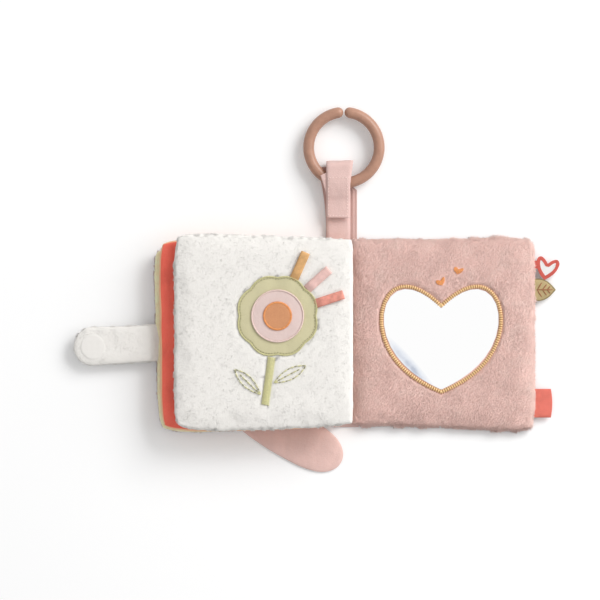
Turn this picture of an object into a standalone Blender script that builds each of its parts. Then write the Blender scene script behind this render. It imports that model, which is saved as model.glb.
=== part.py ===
"""A soft cloth activity book for a baby, lying open at its last spread.

Metres, +Z up. X runs across the spread and Y up the page. The origin is on the floor
under the spine, where the back cover's root seam stands. Each board of the book is two
fabric panels sewn round a sheet of padding. All boards turn about one line in the spine.
"""

import math

import bmesh
import bpy
from mathutils import Vector

COLLECTION_NAME = "soft_activity_book"

# Boards: front cover, two leaves and back cover share one size.
BOARD_WIDTH = 0.136
BOARD_DEPTH = 0.1455
BOARD_HALF_THICKNESS = 0.0042
SEAM_HALF_THICKNESS = 0.0016
PANEL_THICKNESS = 0.0022
PADDING_INSET = 0.0034
PADDING_RIM = 0.0034
CORNER_RADIUS = 0.010
SIDE_DRAW_IN = 0.0013
FLAT_CUT = 0.0005
CLEARANCE = 0.0003
LEAF_GAP = 0.0005

# The flower's patches stand a little proud of their pocket in the white leaf.
PATCH_THICKNESS = 0.0005
PATCH_POCKET = 0.0005
PATCH_LAYERS = 3
PATCH_RELIEF = PATCH_LAYERS * (PATCH_THICKNESS + CLEARANCE) - PATCH_POCKET

# Petal flap, which lies on the floor under the front cover.
PETAL_LAYER = 0.0011
PETAL_LENGTH = 0.0985
PETAL_HALF_WIDTH = 0.0176
PETAL_TIP_X = -0.0101
PETAL_SHOWS = 0.0245
PETAL_TIP_Y = -BOARD_DEPTH / 2 - PETAL_SHOWS
PETAL_ANGLE = math.radians(-28)
PETAL_HINGE_OFFSET = 0.004

# Heights of the boards' middles, from the floor up.
BACK_MIDDLE = BOARD_HALF_THICKNESS - FLAT_CUT
COVER_MIDDLE = 2 * PETAL_LAYER + CLEARANCE + LEAF_GAP + BOARD_HALF_THICKNESS
LEAF_PITCH = 2 * BOARD_HALF_THICKNESS + LEAF_GAP
RED_MIDDLE = COVER_MIDDLE + LEAF_PITCH
WHITE_MIDDLE = RED_MIDDLE + LEAF_PITCH
CLOSED_WHITE_MIDDLE = BACK_MIDDLE + 2 * BOARD_HALF_THICKNESS + PATCH_RELIEF + CLEARANCE

# The line that all the boards turn about.
HINGE_X = -0.005
HINGE_Z = (WHITE_MIDDLE + CLOSED_WHITE_MIDDLE) / 2

# Where each board's root seam stands at rest, as the stack fans out to the left.
BACK_ROOT_X = 0.0003
WHITE_ROOT_X = -0.001
RED_ROOT_X = -0.010
COVER_ROOT_X = -0.015

# The spine gathers each board's root, and the fore-edges fan out to their own places and depths.
SPINE_GATHER = 0.0028
WHITE_ROOT_SHIFT_Y = 0.0012
WHITE_SHIFT_Y = 0.0016
WHITE_SPREAD = 0.0019
RED_SHIFT_Y = -0.001
COVER_SHIFT_Y = -0.005
COVER_SPREAD = -0.0020

# Spine.
SPINE_THICKNESS = 0.0012
SPINE_RIGHT = 0.002
SPINE_LEFT = -0.0148
SPINE_RISE_FROM = -0.0085
SPINE_END_INSET = 0.004
BINDING_THICKNESS = 0.0012
BINDING_TOP = 0.0082
TAPE_THICKNESS = 0.0010

# Heart mirror, its border and the two small hearts.
MIRROR_OFF_CENTRE = 0.0035
MIRROR_X = BACK_ROOT_X + BOARD_WIDTH / 2 - MIRROR_OFF_CENTRE
MIRROR_Y = -0.0046
MIRROR_OUTER_WIDTH = 0.0926
MIRROR_OUTER_HEIGHT = 0.0820
MIRROR_BORDER = 0.003
MIRROR_THICKNESS = 0.0006
MIRROR_POCKET = 0.0009
BORDER_THICKNESS = 0.0011
SMALL_HEART_WIDTH = 0.0074
SMALL_HEART_HEIGHT = 0.0059
SMALL_HEART_THICKNESS = 0.0006
# Each small heart's place is counted from the mirror's centre.
SMALL_HEARTS = (
    ("small_heart_right", 0.0127, 0.0513, math.radians(-14)),
    ("small_heart_left", -0.0001, 0.0429, math.radians(24)),
)
# How deeply each heart's lobes are parted, and the finer waves that make its sides plump.
MIRROR_NOTCH_SHARE = 0.26
BORDER_INNER_NOTCH_SHARE = 0.30
SMALL_HEART_NOTCH_SHARE = 0.50
HEART_TAB_NOTCH_SHARE = 0.45
HEART_WAVE_SHARES = (0.18, 0.03)

# Tabs in the back cover's fore-edge.
TAB_THICKNESS = 0.0010
HEART_TAB_WIDTH = 0.0165
HEART_TAB_HEIGHT = 0.0162
HEART_TAB_BELOW_TOP = 0.02455
HEART_TAB_Y = BOARD_DEPTH / 2 - HEART_TAB_BELOW_TOP
HEART_TAB_TILT = math.radians(-12)
HEART_STALK_FROM = 0.0002
HEART_STALK_WIDTH = 0.0062
HEART_STALK_LENGTH = 0.0085
LEAF_TAB_LENGTH = 0.0150
LEAF_TAB_HALF_WIDTH = 0.0080
LEAF_TAB_BELOW_HEART = 0.0156
LEAF_TAB_Y = HEART_TAB_Y - LEAF_TAB_BELOW_HEART
LABEL_TAB_LENGTH = 0.0128
LABEL_TAB_HALF_WIDTH = 0.0108
LABEL_TAB_ABOVE_FOOT = 0.02005
LABEL_TAB_Y = LABEL_TAB_ABOVE_FOOT - BOARD_DEPTH / 2

# Flower on the white leaf: patches, stem and ribbons.
FLOWER_OFF_CENTRE = 0.011
FLOWER_X = WHITE_ROOT_X - BOARD_WIDTH / 2 + FLOWER_OFF_CENTRE
FLOWER_Y = 0.0130
FLOWER_RADIUS = 0.0290
FLOWER_SCALLOP = 0.0020
FLOWER_LOBES = 8
FLOWER_RING_RADIUS = 0.0195
FLOWER_CENTRE_RADIUS = 0.0105
STEM_WIDTH = 0.0065
STEM_LENGTH = 0.0360
STEM_LEAN = math.radians(-8)
RIBBON_WIDTH = 0.0068
RIBBON_LENGTH = 0.0195
RIBBON_THICKNESS = 0.0011
RIBBONS = (
    ("ribbon_coral", math.radians(18)),
    ("ribbon_pink", math.radians(42)),
    ("ribbon_ochre", math.radians(66)),
)

# Closure strap on the front cover's fore-edge.
STRAP_THICKNESS = 0.0040
STRAP_EDGE_HALF_THICKNESS = 0.0010
STRAP_ROOT_LENGTH = 0.0316
STRAP_TIP_LENGTH = 0.0293
STRAP_HALF_WIDTH = 0.0140
STRAP_TIP_HALF_WIDTH = 0.0148
STRAP_ROOT_Y = -0.0072
STRAP_TIP_Y = -0.0104
HOOK_RADIUS = 0.0093
HOOK_THICKNESS = 0.0008
HOOK_FROM_TIP = 0.0146
LOOP_RADIUS = 0.0120
LOOP_THICKNESS = 0.0008
LOOP_FROM_HOOK = 0.005

# Hanging strap at the spine's top end, and the split ring.
HANG_GAP = 0.00055
HANG_Y = BOARD_DEPTH / 2 + HANG_GAP
HANG_HINGE_OFFSET = 0.0040
HANG_LAYER = 0.0018
HANG_HALF_WIDTH = 0.0090
HANG_X = -0.0125
BACK_RUN_HALF_WIDTH = 0.0122
BACK_RUN_X = -0.0112
BACK_RUN_LEAN = -0.0030
BACK_RUN_LENGTH = 0.0517
BACK_RUN_END_Y = HANG_Y + BACK_RUN_LENGTH
BIGHT_REACH = 0.0034
FRONT_RUN_REACH = 0.0307
FRONT_RUN_END_Y = HANG_Y + FRONT_RUN_REACH
TAB_END_RISE = 0.0134
TAB_END_Y = HANG_Y + TAB_END_RISE
PAD_THICKNESS = 0.0009
PAD_HALF_WIDTH = 0.0070
PAD_FROM_TAB_END = 0.0018
PAD_LENGTH = 0.0125
PAD_LOW_Y = TAB_END_Y + PAD_FROM_TAB_END
PAD_HIGH_Y = PAD_LOW_Y + PAD_LENGTH
RING_X = -0.00825
RING_FROM_RUN_END = 0.0145
RING_Y = BACK_RUN_END_Y + RING_FROM_RUN_END
RING_RADIUS = 0.0265
RING_TUBE_RADIUS = 0.0041
RING_GAP = 0.0008

# Counts of faces.
BOARD_CELLS = 12
PADDING_CELLS = 8
STRAP_CELLS = 8
ROUTE_CELLS = 20
TAB_CELLS = 40
HEART_POINTS = 44
ROUND_POINTS = 32
LOBE_POINTS = 6
RING_POINTS = 48

CROWN_POWER = 6
CORNER_POWER = 8
STRAP_CROWN_POWER = 4
CUT_OVERRUN = 0.004

PINK_PLUSH = (0.70, 0.45, 0.39)
WHITE_PLUSH = (0.80, 0.77, 0.73)
CORAL = (0.60, 0.09, 0.06)
OCHRE_PEACH = (0.70, 0.42, 0.25)
GREEN = (0.58, 0.52, 0.28)
OCHRE = (0.65, 0.30, 0.12)
VELVET_PINK = (0.74, 0.48, 0.44)
PADDING_WHITE = (0.85, 0.85, 0.85)
MIRROR_SILVER = (0.92, 0.93, 0.95)
THREAD_ORANGE = (0.80, 0.45, 0.16)
RING_BROWN = (0.42, 0.22, 0.15)
TAB_WHITE = (0.85, 0.82, 0.80)
HOOK_WHITE = (0.78, 0.78, 0.76)


def clear_scene():
    for leftover in list(bpy.data.objects):
        bpy.data.objects.remove(leftover, do_unlink=True)


def new_collection(name):
    collection = bpy.data.collections.new(name)
    bpy.context.scene.collection.children.link(collection)
    return collection


clear_scene()
PARTS = new_collection(COLLECTION_NAME)
CUTTERS = new_collection("cutters")


def principled(name, colour, roughness, metallic=0.0):
    material = bpy.data.materials.new(name)
    material.use_nodes = True
    shader = material.node_tree.nodes["Principled BSDF"]
    shader.inputs["Base Color"].default_value = (*colour, 1.0)
    shader.inputs["Roughness"].default_value = roughness
    shader.inputs["Metallic"].default_value = metallic
    return material


def axis_empty(name, place, parent=None):
    """An empty on a joint's axis, which carries the pieces that turn about it."""
    empty = bpy.data.objects.new(name, None)
    PARTS.objects.link(empty)
    if parent is not None:
        empty.parent = parent
        empty.location = Vector(place) - world_place(parent)
    else:
        empty.location = place
    return empty


def world_place(empty):
    place = Vector(empty.location)
    while empty.parent is not None:
        empty = empty.parent
        place += Vector(empty.location)
    return place


def carry(piece, empty):
    """Parents a piece to an empty and leaves it where it is."""
    if empty is not None:
        piece.parent = empty
        piece.location = -world_place(empty)


def add_piece(name, mesh, material, empty=None):
    piece = bpy.data.objects.new(name, mesh)
    mesh.name = name
    mesh.materials.append(material)
    PARTS.objects.link(piece)
    carry(piece, empty)
    mesh.shade_smooth()
    mesh.set_sharp_from_angle(angle=math.radians(40))
    return piece


def shaped_slab(cells, place):
    """A closed slab made from a unit grid; place(u, v, level) gives each corner's point.

    u and v run from -1 to 1, and level is 0 on the lower side and 1 on the upper side.
    """
    builder = bmesh.new()
    bmesh.ops.create_grid(builder, x_segments=cells[0], y_segments=cells[1], size=1)
    lower_corners = set(builder.verts)
    bmesh.ops.extrude_face_region(builder, geom=builder.faces[:], use_keep_orig=True)
    for corner in builder.verts:
        level = 0 if corner in lower_corners else 1
        corner.co = Vector(place(corner.co.x, corner.co.y, level))
    bmesh.ops.recalc_face_normals(builder, faces=builder.faces[:])
    if builder.calc_volume(signed=True) < 0:
        bmesh.ops.reverse_faces(builder, faces=builder.faces[:])
    mesh = bpy.data.meshes.new("slab")
    builder.to_mesh(mesh)
    builder.free()
    return mesh


def outline_mesh(outlines, low, high):
    """A flat plate between two heights, from one outline and any holes in it."""
    curve = bpy.data.curves.new("outline", "CURVE")
    curve.dimensions = "2D"
    curve.fill_mode = "BOTH"
    curve.extrude = (high - low) / 2
    for outline in outlines:
        spline = curve.splines.new("POLY")
        spline.points.add(len(outline) - 1)
        for point, (x, y) in zip(spline.points, outline):
            point.co = (x, y, 0, 1)
        spline.use_cyclic_u = True
    return curve_to_mesh(curve, Vector((0, 0, (low + high) / 2)))


def curve_to_mesh(curve, shift):
    holder = bpy.data.objects.new("curve_holder", curve)
    PARTS.objects.link(holder)
    bpy.context.view_layer.update()
    evaluated = holder.evaluated_get(bpy.context.evaluated_depsgraph_get())
    mesh = bpy.data.meshes.new_from_object(evaluated)
    bpy.data.objects.remove(holder, do_unlink=True)
    builder = bmesh.new()
    builder.from_mesh(mesh)
    bmesh.ops.translate(builder, verts=builder.verts[:], vec=shift)
    bmesh.ops.remove_doubles(builder, verts=builder.verts[:], dist=CLEARANCE / 100)
    bmesh.ops.recalc_face_normals(builder, faces=builder.faces[:])
    builder.to_mesh(mesh)
    builder.free()
    mesh.materials.clear()
    return mesh


def combine(piece, name, mesh, operation):
    """Cuts a hidden shape out of a piece, or joins it to the piece."""
    cutter = bpy.data.objects.new(name, mesh)
    CUTTERS.objects.link(cutter)
    cutter.hide_render = True
    cutter.display_type = "WIRE"
    modifier = piece.modifiers.new(name, "BOOLEAN")
    modifier.operation = operation
    modifier.solver = "EXACT"
    modifier.object = cutter


def cut(piece, name, mesh):
    combine(piece, name, mesh, "DIFFERENCE")


def rectangle(left, right, low, high):
    return [(left, low), (right, low), (right, high), (left, high)]


def heart_outline(centre, width, height, notch_share, tilt=0.0):
    """A plump heart, centred on its box; the notch share says how far its lobes part."""
    third_share, fourth_share = HEART_WAVE_SHARES
    raw = []
    for step in range(HEART_POINTS):
        turn = 2 * math.pi * (step + 0.5) / HEART_POINTS
        x = math.sin(turn) * abs(math.sin(turn))
        y = math.cos(turn) - notch_share * math.cos(2 * turn)
        y -= third_share * math.cos(3 * turn) + fourth_share * math.cos(4 * turn)
        raw.append((x, y))
    left, right = min(x for x, y in raw), max(x for x, y in raw)
    low, high = min(y for x, y in raw), max(y for x, y in raw)
    points = []
    for x, y in raw:
        across = ((x - left) / (right - left) - 0.5) * width
        up = ((y - low) / (high - low) - 0.5) * height
        points.append((
            centre[0] + across * math.cos(tilt) - up * math.sin(tilt),
            centre[1] + across * math.sin(tilt) + up * math.cos(tilt),
        ))
    return points


def round_outline(centre, radius, lobes=0, scallop=0.0, points=ROUND_POINTS):
    """A circle, or a flower of round lobes when there is a scallop."""
    outline = []
    for step in range(points):
        turn = 2 * math.pi * step / points
        reach = radius + scallop * abs(math.sin(lobes * turn / 2))
        outline.append((centre[0] + reach * math.cos(turn), centre[1] + reach * math.sin(turn)))
    return outline


class Board:
    """The place of one board and the shape that all boards share."""

    def __init__(self, root_x, side, middle, shift_y=0.0, spread=0.0, root_shift_y=0.0):
        self.side = side
        self.centre_x = root_x + side * BOARD_WIDTH / 2
        self.middle = middle
        self.shift_y = shift_y
        self.spread = spread
        self.root_shift_y = root_shift_y

    def depth_at(self, u):
        """The middle and the half depth of the board from its gathered root to its fore-edge."""
        fore_share = (1 + u * self.side) / 2
        middle = self.shift_y * fore_share + self.root_shift_y * (1 - fore_share)
        half = BOARD_DEPTH / 2 + self.spread * fore_share - SPINE_GATHER * (1 - fore_share)
        return middle, half

    def plan(self, u, v, inset=0.0):
        """A rounded square with drawn-in sides and a straight root, where it is sewn in."""
        middle, half_depth = self.depth_at(u)
        half_width = BOARD_WIDTH / 2 - inset
        half_depth -= inset
        pull = CORNER_RADIUS * (1 - math.sqrt(0.5)) * abs(u * v) ** CORNER_POWER
        side_draw = SIDE_DRAW_IN if u * self.side > 0 else 0
        x = u * (half_width - pull - side_draw * u * u * (1 - v * v))
        y = v * (half_depth - pull - SIDE_DRAW_IN * v * v * (1 - u * u))
        return self.centre_x + x, middle + y

    def fore_edge(self, y):
        """X of the edge away from the spine at a height up the page."""
        middle, half = self.depth_at(self.side)
        return self.plan(self.side, (y - middle) / half)[0]


def spread(share):
    """Grid lines drawn together near the edges of a board."""
    return math.sin(share * math.pi / 2)


def crown(u, v, power=CROWN_POWER):
    """From 0 at the seam to 1 over most of a pillow's face."""
    across = max(0, 1 - abs(u) ** power)
    up = max(0, 1 - abs(v) ** power)
    return math.sqrt(across * up)


def outer_height(u, v):
    return SEAM_HALF_THICKNESS + (BOARD_HALF_THICKNESS - SEAM_HALF_THICKNESS) * crown(u, v)


def inner_height(u, v):
    """The hollow side of a panel, which the padding fills."""
    u_share = u / (1 - PADDING_INSET / (BOARD_WIDTH / 2))
    v_share = v / (1 - PADDING_INSET / (BOARD_DEPTH / 2))
    depth = BOARD_HALF_THICKNESS - PANEL_THICKNESS - CLEARANCE / 2
    return CLEARANCE / 2 + depth * crown(u_share, v_share)


def board_panel(board, side, flat_cut=0.0):
    """One fabric panel of a board; side is 1 for the upper one and -1 for the lower one."""
    def place(u, v, level):
        u, v = spread(u), spread(v)
        x, y = board.plan(u, v)
        outer = min(outer_height(u, v), BOARD_HALF_THICKNESS - flat_cut)
        height = outer if level == 1 else inner_height(u, v)
        return x, y, board.middle + side * height
    return shaped_slab((BOARD_CELLS, BOARD_CELLS), place)


def board_padding(board):
    """The padding fills the hollow between a board's two panels."""
    def place(u, v, level):
        u, v = spread(u), spread(v)
        inset = PADDING_INSET + PADDING_RIM
        x, y = board.plan(u, v, inset)
        u_share = u * (1 - inset / (BOARD_WIDTH / 2))
        v_share = v * (1 - inset / (BOARD_DEPTH / 2))
        height = inner_height(u_share, v_share) - CLEARANCE
        return x, y, board.middle + (height if level == 1 else -height)
    return shaped_slab((PADDING_CELLS, PADDING_CELLS), place)


def smooth_route(points, share):
    """A point and its direction on a smooth curve through the points."""
    spans = len(points) - 1
    position = share * spans
    span = min(int(position), spans - 1)
    t = position - span
    before = Vector(points[max(span - 1, 0)])
    start = Vector(points[span])
    end = Vector(points[span + 1])
    after = Vector(points[min(span + 2, spans)])
    a = 2 * start
    b = end - before
    c = 2 * before - 5 * start + 4 * end - after
    d = 3 * start - before - 3 * end + after
    place = (a + b * t + c * t * t + d * t * t * t) / 2
    direction = (b + 2 * c * t + 3 * d * t * t).normalized()
    return place, direction


def band(route, thickness, width_low, width_high, along_y=True, cells=ROUTE_CELLS, lean=0.0):
    """A strip of cloth whose side view follows a route; along_y says the route runs in Y and Z.

    lean moves the far end of the strip sideways.
    """
    def place(u, v, level):
        share = (u + 1) / 2
        (run, rise), (run_step, rise_step) = smooth_route(route, share)
        side = thickness * (level - 0.5)
        run, rise = run - rise_step * side, rise + run_step * side
        across = width_low + (width_high - width_low) * (v + 1) / 2 + lean * share
        return (across, run, rise) if along_y else (run, across, rise)
    return shaped_slab((cells, 1), place)


BACK = Board(BACK_ROOT_X, 1, BACK_MIDDLE)
WHITE = Board(WHITE_ROOT_X, -1, WHITE_MIDDLE, WHITE_SHIFT_Y, WHITE_SPREAD, WHITE_ROOT_SHIFT_Y)
RED = Board(RED_ROOT_X, -1, RED_MIDDLE, RED_SHIFT_Y)
COVER = Board(COVER_ROOT_X, -1, COVER_MIDDLE, COVER_SHIFT_Y, COVER_SPREAD)

STRAP_TOP = COVER_MIDDLE + STRAP_THICKNESS / 2
STRAP_LENGTH = STRAP_ROOT_LENGTH + CLEARANCE + STRAP_TIP_LENGTH
STRAP_START_X = min(
    COVER.fore_edge(STRAP_ROOT_Y - STRAP_HALF_WIDTH), COVER.fore_edge(STRAP_ROOT_Y + STRAP_HALF_WIDTH)
) - CLEARANCE
STRAP_FOLD_X = STRAP_START_X - STRAP_ROOT_LENGTH
STRAP_END_X = STRAP_START_X - STRAP_LENGTH
HOOK_X = STRAP_END_X + HOOK_FROM_TIP
CLOSED_HOOK_X = 2 * HINGE_X - STRAP_START_X - (STRAP_FOLD_X - HOOK_X)
LOOP_X = CLOSED_HOOK_X - LOOP_FROM_HOOK


def make_board(prefix, board, upper, lower, empty, flat_cut=0.0):
    """The two panels and the padding of one board."""
    upper_name, upper_colour = upper
    lower_name, lower_colour = lower
    material = principled(upper_name, upper_colour, 0.95)
    upper_piece = add_piece(upper_name, board_panel(board, 1), material, empty)
    material = principled(lower_name, lower_colour, 0.95)
    lower_piece = add_piece(lower_name, board_panel(board, -1, flat_cut), material, empty)
    padding_name = prefix + "_padding"
    add_piece(padding_name, board_padding(board), principled(padding_name, PADDING_WHITE, 1.0), empty)
    return upper_piece, lower_piece


def make_back_cover():
    inner, outer = make_board(
        "back_cover", BACK,
        ("back_cover_inner_panel", PINK_PLUSH), ("back_cover_outer_panel", PINK_PLUSH), None, FLAT_CUT,
    )
    top = BACK_MIDDLE + BOARD_HALF_THICKNESS
    centre = (MIRROR_X, MIRROR_Y)
    floor = top - MIRROR_POCKET
    outer_width, outer_height_across = MIRROR_OUTER_WIDTH, MIRROR_OUTER_HEIGHT
    pocket = heart_outline(
        centre, outer_width + 2 * CLEARANCE, outer_height_across + 2 * CLEARANCE, MIRROR_NOTCH_SHARE,
    )
    cut(inner, "mirror_pocket", outline_mesh([pocket], floor, top + CUT_OVERRUN))

    seat = floor + CLEARANCE
    outer_heart = heart_outline(centre, outer_width, outer_height_across, MIRROR_NOTCH_SHARE)
    inner_width = outer_width - 2 * MIRROR_BORDER
    inner_height_across = outer_height_across - 2 * MIRROR_BORDER
    inner_heart = heart_outline(centre, inner_width, inner_height_across, BORDER_INNER_NOTCH_SHARE)
    border = outline_mesh([outer_heart, inner_heart], seat, seat + BORDER_THICKNESS)
    add_piece("mirror_stitch_border", border, principled("mirror_stitch_border", THREAD_ORANGE, 0.5))
    film_outline = heart_outline(
        centre, inner_width - 2 * CLEARANCE, inner_height_across - 2 * CLEARANCE, BORDER_INNER_NOTCH_SHARE,
    )
    film = outline_mesh([film_outline], seat, seat + MIRROR_THICKNESS)
    add_piece("mirror_film", film, principled("mirror_film", MIRROR_SILVER, 0.05, 1.0))

    for name, right, up, tilt in SMALL_HEARTS:
        place = (MIRROR_X + right, MIRROR_Y + up)
        outline = heart_outline(place, SMALL_HEART_WIDTH, SMALL_HEART_HEIGHT, SMALL_HEART_NOTCH_SHARE, tilt)
        mesh = outline_mesh([outline], top + CLEARANCE, top + CLEARANCE + SMALL_HEART_THICKNESS)
        add_piece(name, mesh, principled(name, THREAD_ORANGE, 0.5))

    pocket = round_outline((LOOP_X, STRAP_TIP_Y), LOOP_RADIUS + CLEARANCE)
    pocket_top = LOOP_THICKNESS + 2 * CLEARANCE
    cut(outer, "loop_patch_pocket", outline_mesh([pocket], -CUT_OVERRUN, pocket_top))
    circle = round_outline((LOOP_X, STRAP_TIP_Y), LOOP_RADIUS)
    patch = outline_mesh([circle], CLEARANCE, CLEARANCE + LOOP_THICKNESS)
    add_piece("closure_loop_patch", patch, principled("closure_loop_patch", HOOK_WHITE, 0.9))


def leaf_tab_outline(root_x):
    """A pointed leaf that starts at the fore-edge."""
    shares = ((0, -1), (0.35, -0.95), (0.68, -0.62), (1, 0), (0.68, 0.62), (0.35, 0.95), (0, 1))
    length = LEAF_TAB_LENGTH
    half_width = LEAF_TAB_HALF_WIDTH
    return [(root_x + along * length, LEAF_TAB_Y + across * half_width) for along, across in shares]


def label_tab_outline(root_x):
    low_y = LABEL_TAB_Y - LABEL_TAB_HALF_WIDTH
    high_y = LABEL_TAB_Y + LABEL_TAB_HALF_WIDTH
    return rectangle(root_x, root_x + LABEL_TAB_LENGTH, low_y, high_y)


def tab_root(y, half_width):
    """Just outside the fore-edge along a tab's whole root."""
    return max(BACK.fore_edge(y - half_width), BACK.fore_edge(y + half_width)) + CLEARANCE


def make_tabs():
    low = BACK_MIDDLE - TAB_THICKNESS / 2
    high = BACK_MIDDLE + TAB_THICKNESS / 2
    heart_root = tab_root(HEART_TAB_Y + HEART_STALK_FROM + HEART_STALK_WIDTH / 2, HEART_STALK_WIDTH / 2)
    heart_hinge = axis_empty("heart_tab_axis", (heart_root, HEART_TAB_Y, high))
    heart_x = heart_root + HEART_STALK_LENGTH
    centre = (heart_x, HEART_TAB_Y)
    outline = heart_outline(centre, HEART_TAB_WIDTH, HEART_TAB_HEIGHT, HEART_TAB_NOTCH_SHARE, HEART_TAB_TILT)
    mesh = outline_mesh([outline], low, high)
    heart = add_piece("heart_tab", mesh, principled("heart_tab", TAB_WHITE, 0.8), heart_hinge)
    low_y = HEART_TAB_Y + HEART_STALK_FROM
    stalk = rectangle(heart_root, heart_x, low_y, low_y + HEART_STALK_WIDTH)
    combine(heart, "heart_tab_stalk", outline_mesh([stalk], low, high), "UNION")

    leaf_root = tab_root(LEAF_TAB_Y, LEAF_TAB_HALF_WIDTH)
    leaf_hinge = axis_empty("leaf_tab_axis", (leaf_root, LEAF_TAB_Y, high))
    mesh = outline_mesh([leaf_tab_outline(leaf_root)], low, high)
    add_piece("leaf_tab", mesh, principled("leaf_tab", GREEN, 0.8), leaf_hinge)

    label_root = tab_root(LABEL_TAB_Y, LABEL_TAB_HALF_WIDTH)
    label_hinge = axis_empty("label_tab_axis", (label_root, LABEL_TAB_Y, high))
    mesh = outline_mesh([label_tab_outline(label_root)], low, high)
    add_piece("label_tab", mesh, principled("label_tab", CORAL, 0.7), label_hinge)


def make_spine():
    """The spine strip runs under the roots and rises to the front cover; a tape stands on it."""
    half = HANG_Y - CLEARANCE
    floor = SPINE_THICKNESS / 2
    rise_top = COVER_MIDDLE - SEAM_HALF_THICKNESS - CLEARANCE
    route = [
        (SPINE_RIGHT, floor), (BACK_ROOT_X, floor), (HINGE_X, floor), (SPINE_RISE_FROM, floor),
        (SPINE_LEFT + SPINE_THICKNESS, (floor + rise_top) / 3), (SPINE_LEFT, rise_top),
    ]
    mesh = band(route, SPINE_THICKNESS, -half, half, along_y=False)
    for corner in mesh.vertices:
        corner.co.z = max(corner.co.z, 0)
    add_piece("spine_strip", mesh, principled("spine_strip", VELVET_PINK, 0.9))
    half = BOARD_DEPTH / 2 - SPINE_GATHER - SPINE_END_INSET
    middle = (SPINE_THICKNESS + BINDING_TOP) / 2
    route = [(HINGE_X, SPINE_THICKNESS + CLEARANCE), (HINGE_X, middle), (HINGE_X, BINDING_TOP)]
    mesh = band(route, BINDING_THICKNESS, -half, half, along_y=False, cells=2)
    add_piece("spine_binding_tape", mesh, principled("spine_binding_tape", VELVET_PINK, 0.9))


def make_front_cover(empty):
    make_board(
        "front_cover", COVER,
        ("front_cover_inner_panel", GREEN), ("front_cover_outer_panel", PINK_PLUSH), empty,
    )


def make_red_leaf(empty):
    make_board(
        "red_leaf", RED, ("red_leaf_front_panel", CORAL), ("red_leaf_back_panel", OCHRE_PEACH), empty,
    )
    half = BOARD_DEPTH / 2 - SPINE_GATHER - SPINE_END_INSET
    start = (RED_ROOT_X + CLEARANCE + TAPE_THICKNESS / 2, RED_MIDDLE)
    end = (HINGE_X - TAPE_THICKNESS, HINGE_Z - TAPE_THICKNESS)
    middle = ((start[0] + end[0]) / 2, (start[1] + end[1]) / 2)
    mesh = band([start, middle, end], TAPE_THICKNESS, -half, half, along_y=False, cells=4)
    add_piece("red_leaf_hinge_tape", mesh, principled("red_leaf_hinge_tape", OCHRE_PEACH, 0.9), empty)


def scalloped_outline(radius):
    """The flower's outer edge, with a round lobe for each petal."""
    points = FLOWER_LOBES * LOBE_POINTS
    return round_outline((FLOWER_X, FLOWER_Y), radius, FLOWER_LOBES, FLOWER_SCALLOP, points)


def flower_patches(empty, seat):
    """Three round patches on one another: scalloped green, pink and ochre."""
    centre = (FLOWER_X, FLOWER_Y)
    layers = (
        ("flower_patch", scalloped_outline(FLOWER_RADIUS), GREEN),
        ("flower_ring_patch", round_outline(centre, FLOWER_RING_RADIUS), VELVET_PINK),
        ("flower_centre_patch", round_outline(centre, FLOWER_CENTRE_RADIUS), OCHRE),
    )
    for level, (name, outline, colour) in enumerate(layers):
        low = seat + level * (PATCH_THICKNESS + CLEARANCE)
        mesh = outline_mesh([outline], low, low + PATCH_THICKNESS)
        add_piece(name, mesh, principled(name, colour, 0.8), empty)


def stem_outline(grow=0.0):
    """A straight stem that leaves the flower downwards, leaning a little."""
    across = Vector((math.cos(STEM_LEAN), math.sin(STEM_LEAN)))
    down = Vector((math.sin(STEM_LEAN), -math.cos(STEM_LEAN)))
    reach = FLOWER_RADIUS + FLOWER_SCALLOP + CLEARANCE
    start = Vector((FLOWER_X, FLOWER_Y)) + down * (reach - grow)
    end = start + down * (STEM_LENGTH + 2 * grow)
    half = across * (STEM_WIDTH / 2 + grow)
    return [tuple(start - half), tuple(end - half), tuple(end + half), tuple(start + half)]


def make_ribbon(name, turn, empty):
    """A flat folded ribbon that leaves the flower's edge and follows the leaf's crown."""
    along = Vector((math.cos(turn), math.sin(turn)))
    across = Vector((-math.sin(turn), math.cos(turn)))
    start = FLOWER_RADIUS + FLOWER_SCALLOP + CLEARANCE

    def place(u, v, level):
        reach = start + RIBBON_LENGTH * (u + 1) / 2
        spot = Vector((FLOWER_X, FLOWER_Y)) + along * reach + across * v * RIBBON_WIDTH / 2
        u_share = (spot.x - WHITE.centre_x) / (BOARD_WIDTH / 2)
        middle, half = WHITE.depth_at(u_share)
        v_share = (spot.y - middle) / half
        ground = WHITE_MIDDLE + outer_height(u_share, v_share) + CLEARANCE
        return spot.x, spot.y, ground + RIBBON_THICKNESS * level

    colours = {"ribbon_coral": CORAL, "ribbon_pink": VELVET_PINK, "ribbon_ochre": OCHRE}
    add_piece(name, shaped_slab((4, 1), place), principled(name, colours[name], 0.5), empty)


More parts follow.
